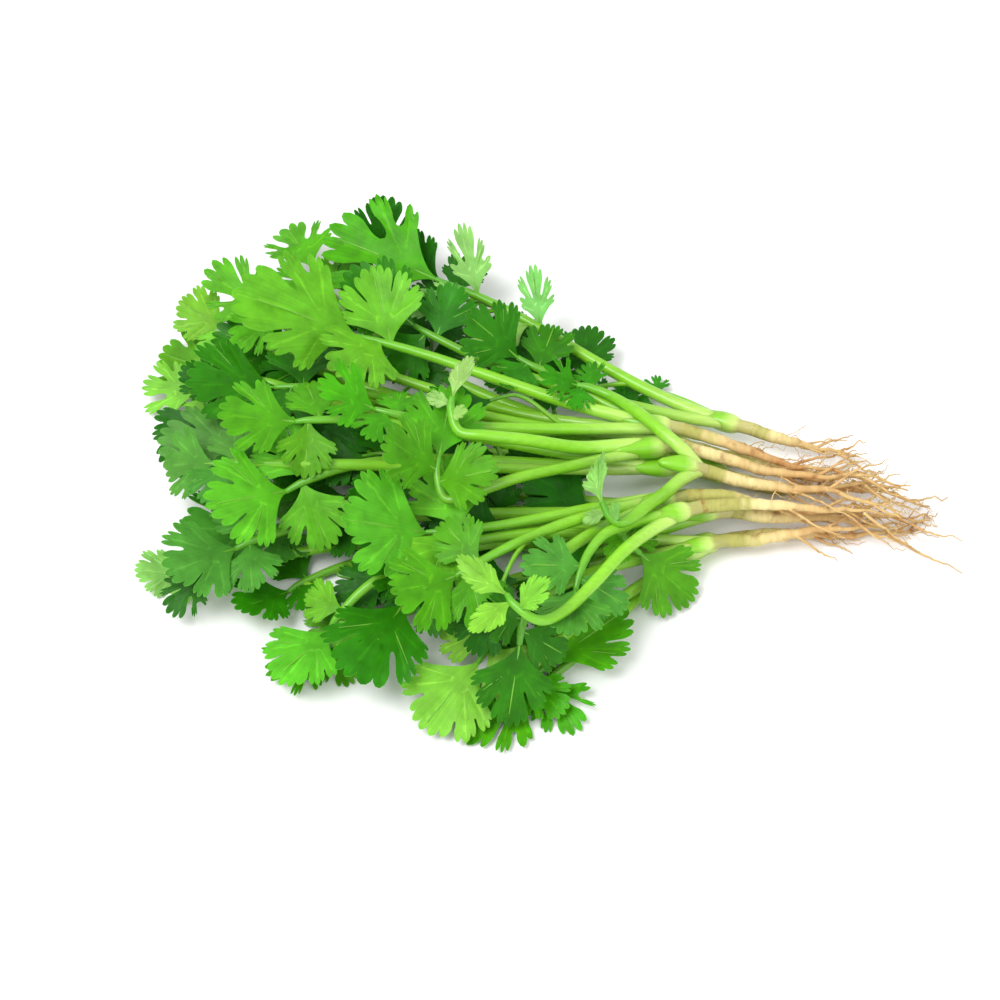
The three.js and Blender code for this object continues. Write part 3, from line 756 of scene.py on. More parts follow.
def gap_filler(plants, spots, random):
    """A leaf low in a gap, off the nearest stem; gives back its plant's index as well."""
    x, y = spots[random.integers(len(spots))]
    hub = np.array([x, y, random.uniform(1, 6)])
    reach = []
    for index, plant in enumerate(plants):
        for laid in plant["leaves"]:
            away = np.linalg.norm(laid["stem"][2:] - hub, axis=1)
            reach.append((away.min(), index, laid["stem"][2 + away.argmin()]))
    away, index, start = min(reach, key=lambda each: each[0])
    heading = heading_to(start, hub) + random.normal(0, 50)
    face = [random.normal(0, 8), random.uniform(*GAP["rise"])]
    like = shaded(heading, face, random.uniform(*GAP["size"]))
    if away > FARTHEST_GAP:
        return None
    arrive = hub - leaf_axes(like)[0] * away * 0.3
    branch = bezier([start, start * 0.6 + hub * 0.4, arrive, hub], SIDE_STEPS)
    branch[:, 2] = np.maximum(branch[:, 2], GAP["radius"])
    made = finish_filler(GAP, like, branch, plants[index]["number"], random)
    return made and (index, made)


def gather(kind, make):
    """What the first tries that succeed give, up to the most that are wanted."""
    found = []
    for attempt in range(kind["tries"]):
        made = make(attempt)
        if made is not None:
            found.append(made)
        if len(found) == kind["most"]:
            break
    return found


def add_side_fillers(plant):
    random = np.random.default_rng(500 + plant["number"])
    stems = [laid["stem"] for laid in plant["leaves"]]

    def make(attempt):
        return side_filler(stems[attempt % len(stems)], plant["number"], random)

    plant["fillers"] = gather(SIDE, make)


def add_fillers(plants):
    for plant in plants:
        take_plant(plant)
    for plant in plants:
        add_side_fillers(plant)
    for plant in plants:
        random = np.random.default_rng(700 + plant["number"])
        plant["fillers"] += gather(LONG, lambda _: long_filler(plant, random))
    random = np.random.default_rng(900)
    spots = bare_spots()
    for index, made in gather(GAP, lambda _: gap_filler(plants, spots, random)):
        plants[index]["fillers"].append(made)


# ---------------------------------------------------------------- meshes
SHARP = 60  # degrees from which an edge is shaded as sharp


def add_object(name, data):
    made = bpy.data.objects.new(name, data)
    bpy.context.scene.collection.objects.link(made)
    return made


class Shape:
    """Collects closed shells in one mesh, with each point's colour, vein value and place in the fan."""

    def __init__(self):
        self.points = []
        self.faces = []
        self.tints = []
        self.veins = []
        self.fans = []
        self.count = 0

    def add(self, points, faces, tint, vein=0.0, fan=0.0):
        amount = len(points)
        self.points.append(points)
        self.faces += [[i + self.count for i in face] for face in faces]
        self.tints.append(np.broadcast_to(tint, (amount, 4)))
        self.veins.append(np.broadcast_to(vein, amount))
        self.fans.append(np.broadcast_to(fan, amount))
        self.count += amount

    def finish(self, name, material):
        """Makes the object, in metres, with its middle over the frame's origin."""
        places = np.concatenate(self.points) - BUNCH_CENTRE
        places[:, 2] = np.maximum(places[:, 2], 0)
        mesh = bpy.data.meshes.new(name)
        mesh.from_pydata((places / 1000).tolist(), [], self.faces)
        mesh.shade_smooth()
        mesh.set_sharp_from_angle(angle=math.radians(SHARP))
        tint = mesh.attributes.new("tint", "FLOAT_COLOR", "POINT")
        tint.data.foreach_set("color", np.concatenate(self.tints).astype(np.float32).ravel())
        for key, values in (("vein", self.veins), ("fan", self.fans)):
            layer = mesh.attributes.new(key, "FLOAT", "POINT")
            layer.data.foreach_set("value", np.concatenate(values).astype(np.float32))
        mesh.materials.append(material)
        return add_object(name, mesh)


def linear(code, alpha=1.0):
    """A colour written as six hex digits, in linear values."""
    shares = [int(code[i : i + 2], 16) / 255 for i in (1, 3, 5)]
    values = [s / 12.92 if s < 0.04045 else ((s + 0.055) / 1.055) ** 2.4 for s in shares]
    return np.array(values + [alpha])


def smooth_path(points, count):
    """A Catmull-Rom curve through the points, at count + 1 even parameters."""
    ends = np.concatenate([[2 * points[0] - points[1]], points, [2 * points[-1] - points[-2]]])
    t = np.linspace(0, len(points) - 1, count + 1)
    i = np.minimum(t.astype(int), len(points) - 2)
    u = (t - i)[:, None]
    a, b, c, d = ends[i], ends[i + 1], ends[i + 2], ends[i + 3]
    return 0.5 * (
        2 * b + (c - a) * u + (2 * a - 5 * b + 4 * c - d) * u**2 + (3 * b - a - 3 * c + d) * u**3
    )


def round_angles(sides):
    return 2 * math.pi * np.arange(sides) / sides


def tube(path, radii, sides):
    """A closed tube with a frame that doesn't twist, and how far round each of its points is."""
    count = len(path)
    ahead = np.gradient(path, axis=0)
    ahead /= np.linalg.norm(ahead, axis=1)[:, None]
    normal = np.array([0.0, 0.0, 1.0])
    angles = round_angles(sides)
    rings = []
    for i in range(count):
        normal = unit(normal - ahead[i] * float(normal @ ahead[i]))
        across = np.cross(ahead[i], normal)
        ring = np.outer(np.cos(angles), normal) + np.outer(np.sin(angles), across)
        rings.append(path[i] + ring * np.reshape(radii[i], (-1, 1)))
    caps = [path[:1] - ahead[:1] * radii[0].min() / 2, path[-1:] + ahead[-1:] * radii[-1].min() / 2]
    points = np.concatenate(rings + caps)
    faces = []
    last, start = (count - 1) * sides, count * sides
    for s in range(sides):
        n = (s + 1) % sides
        for a in range(0, last, sides):
            faces.append([a + s, a + n, a + sides + n, a + sides + s])
        faces.append([start, n, s])
        faces.append([start + 1, last + s, last + n])
    return points, faces


def ringed(colours, sides):
    """A colour for each point of a tube, from one for each of its rings."""
    rings = np.repeat(colours, sides, axis=0)
    return np.concatenate([rings, colours[:1], colours[-1:]])


def add_tube(shape, path, radii, sides, colours):
    points, faces = tube(path, radii, sides)
    shape.add(points, faces, ringed(colours, sides))


def between(share, stops, colours):
    """The colour at each share of the way, from those given at the stops."""
    return np.column_stack([np.interp(share, stops, colours[:, k]) for k in range(4)])


# ---------------------------------------------------------------- fine leaflets
# How a leaflet is cut: its main and second cuts, its teeth's depth and count in each lobe, and how
# wide the cuts stand open, as shares of its length.
CUTS = {
    "broad": {"cuts": (0.52, 0.32), "tooth": 0.14, "teeth": (3, 3, 5, 3, 3), "gap": 0.013},
    "young": {"cuts": (0.38, 0.28), "tooth": 0.12, "teeth": (3, 3, 5, 3, 3), "gap": 0.009},
    "cut": {"cuts": (0.64, 0.44), "tooth": 0.2, "teeth": (2, 3, 4, 3, 2), "gap": 0.024},
    "fern": {"cuts": (0.62, 0.5), "tooth": 0.3, "teeth": (3, 3, 3, 3, 3), "gap": 0.024},
}
LOBES = (-80, -53, -27, 27, 53, 80)  # degrees where one lobe ends and the next begins
TOOTH_STEPS = (-1, -0.86, -0.5, 0, 0.5, 0.86, 1)
SLIT_STEPS = (0.74, 0.46, 0.24, 0.08)
BASE_STEPS = (0.88, 0.76, 0.62, 0.46, 0.3, 0.15, 0)
VEIN_GAP = 0.012
TOOTH_WIDTHS_VARY = 0.22
CREST = 1.7  # how square a tooth's round end is
LOBE_ROUNDING = 0.11
BACK_NARROWS = 0.3
BACK_EDGE = 95  # degrees
SLIT_END = 0.93
MAIN_VEIN_END = 0.94
TOOTH_VEIN_END = 0.9
FIRST_FORK = 0.12
FORKS_APART = 0.16
TOOTH_VEIN = 0.7  # how strong it shows, where a main vein is 1
PARTING_VEIN = 0.8
BASE_TAPER = 1.7
VEINS_PART = 0.11
FAN_START = -0.1  # along a leaflet, where its finest veins fan out from
FINE_THICKNESS = 0.34
GRID_SHARE = 1 / 17  # spacing of the points inside a leaflet, as a share of its length
ROW_SHARE = 0.87
GRID_CLEAR = 0.55
TABLE_GAP = 0.25
MIDDLE = np.array([VEIN_START, 0.0])


def polar(radius, degrees):
    """A point at that distance from where the veins part."""
    angle = np.radians(degrees)
    return MIDDLE + np.column_stack([radius * np.cos(angle), radius * np.sin(angle)])


def envelope(form, degrees):
    narrowing = 1 - BACK_NARROWS * (np.abs(degrees) / BACK_EDGE) ** 3
    return BLADE_REACH * np.cos(np.radians(degrees) / 2) ** FORMS[form]["taper"] * narrowing


def lobe_teeth(form, start, end, teeth, random):
    """The toothed edge of one lobe, and the points of its teeth."""
    depth = CUTS[form]["tooth"]
    widths = 1 + random.uniform(-TOOTH_WIDTHS_VARY, TOOTH_WIDTHS_VARY, teeth)
    bounds = start + (end - start) * np.concatenate([[0], np.cumsum(widths) / widths.sum()])
    middle, half = (start + end) / 2, (end - start) / 2
    size = 1 + random.uniform(-0.08, 0.04)
    edge, peaks = [], []
    for a, b in zip(bounds, bounds[1:]):
        u = np.array(TOOTH_STEPS)
        degrees = (a + b) / 2 + u * (b - a) / 2
        crest = (1 - np.abs(u) ** CREST) ** (1 / CREST)
        rounding = 1 - LOBE_ROUNDING * np.abs((degrees - middle) / half) ** 2.4
        tooth = 1 - depth * (1 - crest) * random.uniform(0.85, 1.15)
        reach = envelope(form, degrees) * rounding * tooth * size
        points = polar(reach, degrees)
        peaks.append(points[3])
        edge.append(points if len(edge) == 0 else points[1:])
    return np.concatenate(edge), peaks


def slit(form, degrees, depth, random):
    """The two sides of the cut between two lobes: inwards, then outwards again."""
    outer = float(envelope(form, degrees)) * (1 - CUTS[form]["tooth"]) * SLIT_END
    inner = float(envelope(form, degrees)) * (1 - depth * random.uniform(0.85, 1.1))
    steps = np.array(SLIT_STEPS)
    wide = CUTS[form]["gap"] * random.uniform(0.5, 1.9)
    closing = random.uniform(0.35, 0.85)
    gaps = wide * (0.25 + 2.3 * steps**0.6 * (1 - closing * steps))
    reach = inner + (outer - inner) * steps
    angle = math.radians(degrees)
    ray = MIDDLE + reach[:, None] * np.array([math.cos(angle), math.sin(angle)])
    aside = gaps[:, None] * np.array([-math.sin(angle), math.cos(angle)])
    bottom = polar(np.array([inner]), np.array([degrees]))
    return np.concatenate([ray - aside, bottom, (ray + aside)[::-1]]), math.degrees(gaps[0] / outer)


def leaflet_outline(form, neck, random):
    """The outline as shares of the length, each lobe's middle line, and each tooth's vein."""
    main, second = CUTS[form]["cuts"]
    cuts = [second, main, main, second]
    edges = np.array(LOBES) + random.uniform(-4, 4, len(LOBES))
    slits = [slit(form, edges[i + 1], cuts[i], random) for i in range(len(cuts))]
    parts, lobes = [], []
    for i, teeth in enumerate(CUTS[form]["teeth"]):
        start = edges[i] + (slits[i - 1][1] if i > 0 else 0)
        end = edges[i + 1] - (slits[i][1] if i < len(slits) else 0)
        edge, peaks = lobe_teeth(form, start, end, teeth, random)
        parts.append(edge)
        lobes.append(peaks)
        if i < len(slits):
            parts.append(slits[i][0])
    first, last = parts[0][0], parts[-1][-1]
    t = np.array(BASE_STEPS)
    for end, side in ((last, 1), (first, -1)):
        narrow = neck + (np.abs(end[1]) - neck) * t**BASE_TAPER
        parts.append(np.column_stack([end[0] * t, side * narrow])[::side])
    return np.concatenate(parts), lobes


def vein_lines(lobes):
    """Rows of points along the veins: the midrib, one to each lobe, and one to each tooth."""
    lines = [(np.linspace(0.02, 1, 5)[:, None] * MIDDLE, 1.0)]
    for peaks in lobes:
        main = peaks[len(peaks) // 2]
        t = np.linspace(0, MAIN_VEIN_END, 10)[:, None]
        lines.append((MIDDLE + (main - MIDDLE) * t, 1.0))
        for k, peak in enumerate(peaks):
            if k == len(peaks) // 2:
                continue
            fork = MIDDLE + (main - MIDDLE) * (FIRST_FORK + FORKS_APART * (k % 2))
            t = np.linspace(0, TOOTH_VEIN_END, 8)[:, None]
            bow = (peak - fork) * t + (main - MIDDLE) * (0.1 * t * (1 - t))
            lines.append((fork + bow, TOOTH_VEIN))
    return lines


def inside(points, outline):
    """Whether each point is inside the closed outline."""
    a, b = outline, np.roll(outline, -1, axis=0)
    x, y = points[:, 0, None], points[:, 1, None]
    crosses = (a[:, 1] > y) != (b[:, 1] > y)
    rise = np.where(b[:, 1] == a[:, 1], 1e-9, b[:, 1] - a[:, 1])
    at = a[:, 0] + (y - a[:, 1]) * (b[:, 0] - a[:, 0]) / rise
    return (crosses & (x < at)).sum(axis=1) % 2 == 1


def apart(points, others, gap):
    """The points that are at least gap from all the others."""
    if len(points) == 0:
        return points
    away = np.hypot(*(points[:, None, :] - others[None, :, :]).transpose(2, 0, 1))
    return points[away.min(axis=1) > gap]


def flat_leaflet(form, neck, random):
    """Triangles over a leaflet laid flat, with vein values at their corners, as shares of its length."""
    outline, lobes = leaflet_outline(form, neck, random)
    places, edges, veins = [outline], [], [np.zeros(len(outline))]
    count = len(outline)
    for line, strength in vein_lines(lobes):
        line = apart(line[inside(line, outline)], np.concatenate(places), VEIN_GAP)
        if len(line) < 2:
            continue
        places.append(line)
        edges += [(count + i, count + i + 1) for i in range(len(line) - 1)]
        veins.append(np.full(len(line), strength))
        count += len(line)
    x, y = np.meshgrid(np.arange(0, 1.05, GRID_SHARE), np.arange(-0.8, 0.8, GRID_SHARE * ROW_SHARE))
    x = x + np.where(np.arange(len(x)) % 2, GRID_SHARE / 2, 0)[:, None]
    grid = np.column_stack([x.ravel(), y.ravel()])
    grid = apart(grid[inside(grid, outline)], np.concatenate(places), GRID_SHARE * GRID_CLEAR)
    places.append(grid)
    veins.append(np.zeros(len(grid)))
    points = np.concatenate(places)
    result = delaunay_2d_cdt(
        [Vector(p) for p in points], edges, [list(range(len(outline)))], 1, 1e-6
    )
    spots = np.array([(v.x, v.y) for v in result[0]])
    parting = np.linalg.norm(points - MIDDLE, axis=1) < VEINS_PART
    values = np.concatenate(veins) * np.where(parting, PARTING_VEIN, 1)
    strength = np.array([max((values[k] for k in came), default=0) for came in result[3]])
    return spots, [list(f) for f in result[2]], strength


def rim_edges(faces):
    """Directed edges that only one triangle has."""
    seen = {(f[i], f[(i + 1) % 3]) for f in faces for i in range(3)}
    return [e for e in seen if (e[1], e[0]) not in seen]


# Colours of a leaf's upper side in plain light, by how old it grew and as leaves differ. The shade tone
# is painted shade: a darker green for the leaves laid inside the heap.
TONES = {
    "deep": linear("#2f8604"),
    "dark": linear("#2a7604"),
    # painted shade: a darker green for the leaves laid inside the heap
    "shade": linear("#1e6203"),
    "blue": linear("#4c8f30"),
    "mid": linear("#4c940f"),
    "fresh": linear("#449a06"),
    "bright": linear("#5caa20"),
    "light": linear("#76b834"),
    "pale": linear("#8ac062"),
}
LOBE_MIDDLES = (-67, -40, 0, 40, 67)
RIBS = ((0, 0.6, 0, 0.5), (-46, 0.5, VEIN_START, 0.3), (46, 0.5, VEIN_START, 0.3))
RIB_SIDES = 6
UNDERSIDE = linear("#7fae54")
VEIN_LIGHTENS = (1.5, 1.32, 1.6, 1)


def in_place(leaflet, x, y, height):
    """A leaflet's own points, where it lies."""
    return leaflet["base"] + np.column_stack([x, y, height]) @ np.array(leaflet["axes"])


def middle_surface(leaflet, spots, strength, random):
    """Where the flat leaflet's points lie once it is arched, curled and quilted between its veins."""
    length = leaflet["length"]
    x, y = (spots * length * [1, leaflet["wide"]]).T
    from_middle = spots - MIDDLE
    degrees = np.degrees(np.arctan2(from_middle[:, 1], from_middle[:, 0]))
    out = np.hypot(*from_middle.T) / BLADE_REACH
    curls = random.uniform(-0.12, 0.06, len(LOBE_MIDDLES))
    curl = np.interp(degrees, LOBE_MIDDLES, curls) * out**2.2
    ruffle = 0.018 * out**3 * np.sin(np.radians(degrees) * 9 + random.uniform(0, 6))
    quilt = 0.009 * np.where(strength > 0, -strength, 0.6) * np.minimum(out * 3, 1)
    return in_place(leaflet, x, y, blade_height(leaflet, x, y) + length * (curl + ruffle + quilt))


def point_normals(points, faces):
    corners = points[np.array(faces)]
    across = np.cross(corners[:, 1] - corners[:, 0], corners[:, 2] - corners[:, 0])
    normals = np.zeros_like(points)
    for k in range(3):
        np.add.at(normals, np.array(faces)[:, k], across)
    return normals / np.maximum(np.linalg.norm(normals, axis=1), 1e-9)[:, None]


def add_blade(shape, leaflet, random):
    """One leaflet as a thin closed shell."""
    neck = STEM_TIP_RADIUS * 0.6 / leaflet["length"]
    spots, faces, strength = flat_leaflet(leaflet["fine"], neck, random)
    middle = middle_surface(leaflet, spots, strength, random)
    normals = point_normals(middle, faces)
    rim = rim_edges(faces)
    thickness = np.full(len(spots), FINE_THICKNESS / 2)
    thickness[[a for a, _ in rim]] = FINE_THICKNESS / 4
    upper = middle + normals * thickness[:, None]
    lower = middle - normals * thickness[:, None]
    upper[:, 2] = np.maximum(upper[:, 2], TABLE_GAP + FINE_THICKNESS)
    lower[:, 2] = np.maximum(lower[:, 2], TABLE_GAP)
    count = len(spots)
    sides = [[a, b, b + count, a + count][::-1] for a, b in rim]
    under = [[c + count, b + count, a + count] for a, b, c in faces]
    tone = TONES[leaflet["tone"]] * np.append(1 + random.uniform(-0.08, 0.08, 3), 1)
    warm = np.array([random.uniform(0.94, 1.11), 1, random.uniform(0.86, 1.1), 1])
    colour = np.tile(tone * warm, (2 * count, 1))
    colour[:count, 3] = 1
    colour[count:, 3] = 0
    fan = np.arctan2(spots[:, 1], spots[:, 0] - FAN_START) + random.uniform(0, 20)
    points = np.concatenate([upper, lower])
    shape.add(points, faces + under + sides, colour, np.tile(strength, 2), np.tile(fan, 2))


def add_ribs(shape, leaflet, colour):
    """The raised veins under a leaflet: the midrib and one to each side lobe."""
    length = leaflet["length"]
    steps = np.linspace(0, 1, 8)
    out = leaflet["axes"][2]
    size = np.array([length, length * leaflet["wide"]])
    colours = np.tile(colour, (len(steps), 1))
    for degrees, reach, start, wide in RIBS:
        angle = math.radians(degrees)
        start = np.array([start, 0])
        end = MIDDLE + reach * np.array([math.cos(angle), math.sin(angle)])
        x, y = ((start + (end - start) * steps[:, None]) * size).T
        path = in_place(leaflet, x, y, blade_height(leaflet, x, y)) - out * FINE_THICKNESS * 0.7
        radii = wide * STEM_TIP_RADIUS * (1 - 0.75 * steps)
        add_tube(shape, path, radii, RIB_SIDES, colours)


# ---------------------------------------------------------------- fine stems and crowns
STEM_LIME = linear("#86c82c", 0.0)
STEM_PALE = linear("#cbe67e", 0.0)
STEM_GREEN = linear("#5aa622", 0.0)
NECK_CREAM = linear("#d3c987", 0.0)
NECK_OLIVE = linear("#8f9444", 0.0)
STEM_SIDES = 12
STEM_POINTS = 42
BRANCH_SIDES = 8
BRANCH_POINTS = 24
STEM_THICKNESS = ([0, 0.05, 0.12, 0.5, 0.85, 1], [0.55, 0.75, 1, 0.9, 0.65, 0.42])
BULB = [  # distance from the crown, radius
    (-2.8, 1.2), (-1.6, 1.8), (0, 2.1), (2, 2.1), (4, 2.15), (4.9, 2.55), (6, 2.95), (7.6, 3.15),
    (10, 3.1), (13, 2.7), (16, 2.15), (19, 1.5), (20.5, 0.7),
]
BULB_SIDES = 16
SWELLING = 4.5  # distance from the crown where the sheath begins
BULB_STOPS = (-3, -1, 3.8, 5.6, 10, 20)


def stem_colours(share):
    """Pale where a stem leaves its bulb, lime along most of it, and green near its leaf."""
    share = np.asarray(share)[:, None]
    pale = np.clip(1 - share / 0.3, 0, 1)
    green = np.clip((share - 0.45) / 0.5, 0, 1)
    return STEM_LIME * (1 - pale) * (1 - green) + STEM_PALE * pale + STEM_GREEN * green


def stem_path(laid, steps):
    """A laid stem's smooth path up to its end leaflet, and how far along it each point is."""
    points = np.concatenate([laid["stem"], laid["stalk"][None]])
    return smooth_path(points, steps), np.linspace(0, 1, steps + 1)


def add_stem(shape, laid, random):
    path, t = stem_path(laid, STEM_POINTS)
    radii = STEM_BASE_RADIUS * np.interp(t, *STEM_THICKNESS) * random.uniform(0.88, 1.06)
    waves = np.cos(round_angles(STEM_SIDES) * 6 + random.uniform(0, 6))
    ridges = 1 + 0.05 * waves * (np.arange(STEM_SIDES) % 2)
    tint = stem_colours(t) * random.uniform(0.85, 1.1)
    add_tube(shape, path, radii[:, None] * ridges, STEM_SIDES, tint)


def add_branch(shape, filler, random):
    """The stem of a leaf inside the heap, darkened as painted shade."""
    path, t = stem_path(filler, BRANCH_POINTS)
    # the factor under one darkens these stems as painted shade, since they lie inside the heap
    tint = stem_colours(0.3 + 0.6 * t) * random.uniform(0.6, 0.95)
    add_tube(shape, path, filler["radius"] * (1 - 0.4 * t), BRANCH_SIDES, tint)


def stems_middle(plant, distance):
    """The middle of the plant's stems at a distance from its crown, on the far side if negative."""
    if distance < 0:
        ahead = unit(stems_middle(plant, 3) - plant["crown"])
        return plant["crown"] + ahead * distance
    spots = []
    for laid in plant["leaves"]:
        path = laid["stem"]
        gone = np.concatenate([[0], np.cumsum(np.linalg.norm(np.diff(path, axis=0), axis=1))])
        spots.append([np.interp(distance, gone, path[:, k]) for k in range(3)])
    return np.mean(spots, axis=0)


def add_bulb(shape, plant, random):
    """The swollen, blunt sheath that a plant's stems rise from, and the narrow neck under it."""
    grown = random.uniform(0.82, 1.1)
    along = np.array([at for at, _ in BULB])
    path = np.array([stems_middle(plant, at) for at in along])
    radii = np.array([radius for _, radius in BULB])
    radii = np.where(along > SWELLING, radii * grown, radii)
    waves = np.cos(round_angles(BULB_SIDES) * 3 + random.uniform(0, 6))
    folds = 1 + 0.07 * waves * np.clip(along / 6, 0, 1)[:, None]
    points, faces = tube(path, radii[:, None] * folds, BULB_SIDES)
    points[:, 2] = np.maximum(points[:, 2], TABLE_GAP)
    neck = NECK_CREAM + (NECK_OLIVE - NECK_CREAM) * random.uniform(0, 0.9)
    colours = np.array([NECK_CREAM, neck, neck, STEM_PALE, STEM_LIME, STEM_LIME * 0.92])
    shape.add(points, faces, ringed(between(along, BULB_STOPS, colours), BULB_SIDES))


# ---------------------------------------------------------------- fine roots
ROOT_OLIVE = linear("#aeab5e", 0.0)
ROOT_CREAM = linear("#e8db9c", 0.0)
ROOT_TAN = linear("#d6b67a", 0.0)
ROOT_RUST = linear("#b87c46", 0.0)
ROOT_TIP = linear("#c9a469", 0.0)
SOIL = linear("#8a5426")
ROOT_SIDES = 12
ROOT_POINTS = 44
ROOT_THICKNESS = ([0, 0.18, 0.34, 0.5, 0.7, 1], [2.1, 1.95, 1.6, 1.15, 0.65, 0.22])
HAIR_ROOTS = 9
SHORTER_HAIRS = 9
HAIR_SIDES = 5
HAIR_POINTS = 12
LOWEST_HAIR = 0.2
ROOTLET_SIDES = 7
ROOTLET_POINTS = 16


def root_colours(share, rust, olive, random):
    """Olive up to that share of the length, then cream, then tan or rusty, and tan at the tip."""
    share = np.clip(np.asarray(share) + random.normal(0, 0.04, len(share)), 0, 1)
    stops = [0, olive, olive + 0.12, 0.52, 0.75, 1]
    middle = ROOT_TAN + (ROOT_RUST - ROOT_TAN) * rust
    cream = ROOT_CREAM + (ROOT_TAN - ROOT_CREAM) * rust * 0.6
    colours = np.array([ROOT_OLIVE, ROOT_OLIVE, cream, middle, ROOT_TAN, ROOT_TIP])
    return between(share, stops, colours)


def wandering(path, amount, random):
    """The path, swaying to both sides ever more towards its end."""
    t = np.linspace(0, 1, len(path))
    for axis, share in ((1, 1.0), (2, 0.5)):
        for waves in (1.5, 3.5, 7):
            sway = np.sin(t * waves * 2 * math.pi + random.uniform(0, 6)) / waves**0.8
            path[:, axis] += amount * share * sway * t
    return path


def add_root(shape, plant, random):
    t = np.linspace(0, 1, ROOT_POINTS + 1)
    path = wandering(smooth_path(plant["main"], ROOT_POINTS), 1.5, random)
    lumps = 1 + 0.06 * random.normal(0, 1, len(t)) * np.clip(t / 0.3, 0, 1)
    radii = np.interp(t, *ROOT_THICKNESS) * lumps
    wrinkles = 1 + 0.025 * random.normal(0, 1, (len(t), ROOT_SIDES))
    path[:, 2] = np.maximum(path[:, 2], radii * 0.8)
    rust = random.uniform(0, 1)
    olive = random.uniform(0.02, 0.3)
    colours = root_colours(t, rust, olive, random)
    add_tube(shape, path, radii[:, None] * wrinkles, ROOT_SIDES, colours)
    t = np.linspace(0, 1, ROOTLET_POINTS + 1)
    for rootlet in plant["rootlets"]:
        fine = wandering(smooth_path(rootlet, ROOTLET_POINTS), 0.9, random)
        colours = root_colours(0.45 + 0.5 * t, rust, olive, random)
        add_tube(shape, fine, ROOTLET_RADIUS * (1 - 0.75 * t), ROOTLET_SIDES, colours)
    return path


def add_hair(shape, start, ahead, length, thick, random):
    """One thin rootlet, sagging and swaying; gives back its path."""
    t = np.linspace(0, 1, HAIR_POINTS + 1)
    fine = start + unit(ahead) * length * t[:, None]
    fine[:, 2] -= 0.012 * (length * t) ** 2 * random.uniform(0, 1)
    fine = wandering(fine, 1.4, random)
    fine[:, 2] = np.maximum(fine[:, 2], LOWEST_HAIR)
    colours = root_colours(0.4 + 0.6 * t, random.uniform(0, 1), 0, random) * random.uniform(0.75, 1.05)
    add_tube(shape, fine, thick * (1 - 0.7 * t), HAIR_SIDES, colours)
    return fine


def add_hair_roots(shape, path, limit, random):
    """Fine rootlets off the main root, some forking once, none past the limit along X."""
    for hair in range(HAIR_ROOTS):
        share = random.uniform(0.22, 0.97)
        start = path[int(share * (len(path) - 1))]
        swing = random.normal(0.25, 0.75) if hair else 0.35
        ahead = np.array([1.0, swing, random.normal(0.02, 0.25)])
        farthest = limit if hair == 0 else limit - SHORTER_HAIRS
        length = min(random.uniform(4, 15), max(farthest - start[0], 2))
        thick = random.uniform(0.13, 0.26) if hair % 3 else random.uniform(0.3, 0.5)
        fine = add_hair(shape, start, ahead, length, thick, random)
        if random.uniform() < 0.6:
            fork = fine[random.integers(4, 9)]
            side = np.array([1.0, -np.sign(swing) * random.uniform(0.5, 1.4), random.normal(0, 0.2)])
            span = min(random.uniform(3, 8), max(farthest - fork[0], 1.5))
            add_hair(shape, fork, side, span, thick * 0.6, random)


# ---------------------------------------------------------------- materials
def node(tree, kind, inputs=None, **settings):
    made = tree.nodes.new(kind)
    for key, value in settings.items():
        setattr(made, key, value)
    for key, value in (inputs or {}).items():
        if isinstance(value, bpy.types.NodeSocket):
            tree.links.new(value, made.inputs[key])
        else:
            made.inputs[key].default_value = value
    return made


def new_material(name, colour):
    material = bpy.data.materials.new(name)
    material.use_nodes = True
    material.diffuse_color = colour
    tree = material.node_tree
    return material, tree, tree.nodes["Principled BSDF"]


def set_inputs(shader, values):
    for key, value in values.items():
        shader.inputs[key].default_value = value


def attribute(tree, name):
    return node(tree, "ShaderNodeAttribute", attribute_name=name).outputs


def plant_skin(name, colour):
    """A new material with its tree and shader, its tint, and each point's place on the object."""
    material, tree, shader = new_material(name, colour)
    spot = node(tree, "ShaderNodeTexCoord").outputs["Object"]
    return material, tree, shader, attribute(tree, "tint"), spot


def blend_colour(tree, share, first, second, mode="MIX"):
    mix = node(tree, "ShaderNodeMix", data_type="RGBA", blend_type=mode)
    for key, value in (("Factor", share), ("A", first), ("B", second)):
        socket = [s for s in mix.inputs if s.name == key and s.enabled][0]
        if isinstance(value, bpy.types.NodeSocket):
            tree.links.new(value, socket)
        else:
            socket.default_value = value
    return [s for s in mix.outputs if s.enabled][0]


def times(tree, first, second):
    return blend_colour(tree, 1.0, first, second, "MULTIPLY")


def noise(tree, at, scale, detail):
    inputs = {"Vector": at, "Scale": scale, "Detail": detail}
    return node(tree, "ShaderNodeTexNoise", inputs).outputs["Fac"]


def streaks(tree, spot, scale, detail):
    """Noise drawn out along or across the bunch, finer where the scale is larger."""
    drawn = node(tree, "ShaderNodeMapping", {"Vector": spot, "Scale": scale})
    return noise(tree, drawn.outputs["Vector"], 1.0, detail)


def add_bumps(tree, shader, height, strength, distance):
    inputs = {"Height": height, "Strength": strength, "Distance": distance}
    bumps = node(tree, "ShaderNodeBump", inputs)
    tree.links.new(bumps.outputs["Normal"], shader.inputs["Normal"])


def ramp(tree, value, stops):
    made = node(tree, "ShaderNodeValToRGB", {"Fac": value})
    elements = made.color_ramp.elements
    while len(elements) < len(stops):
        elements.new(0.5)
    for element, (position, grey) in zip(elements, stops):
        element.position = position
        element.color = (grey, grey, grey, 1)
    return made.outputs["Color"]


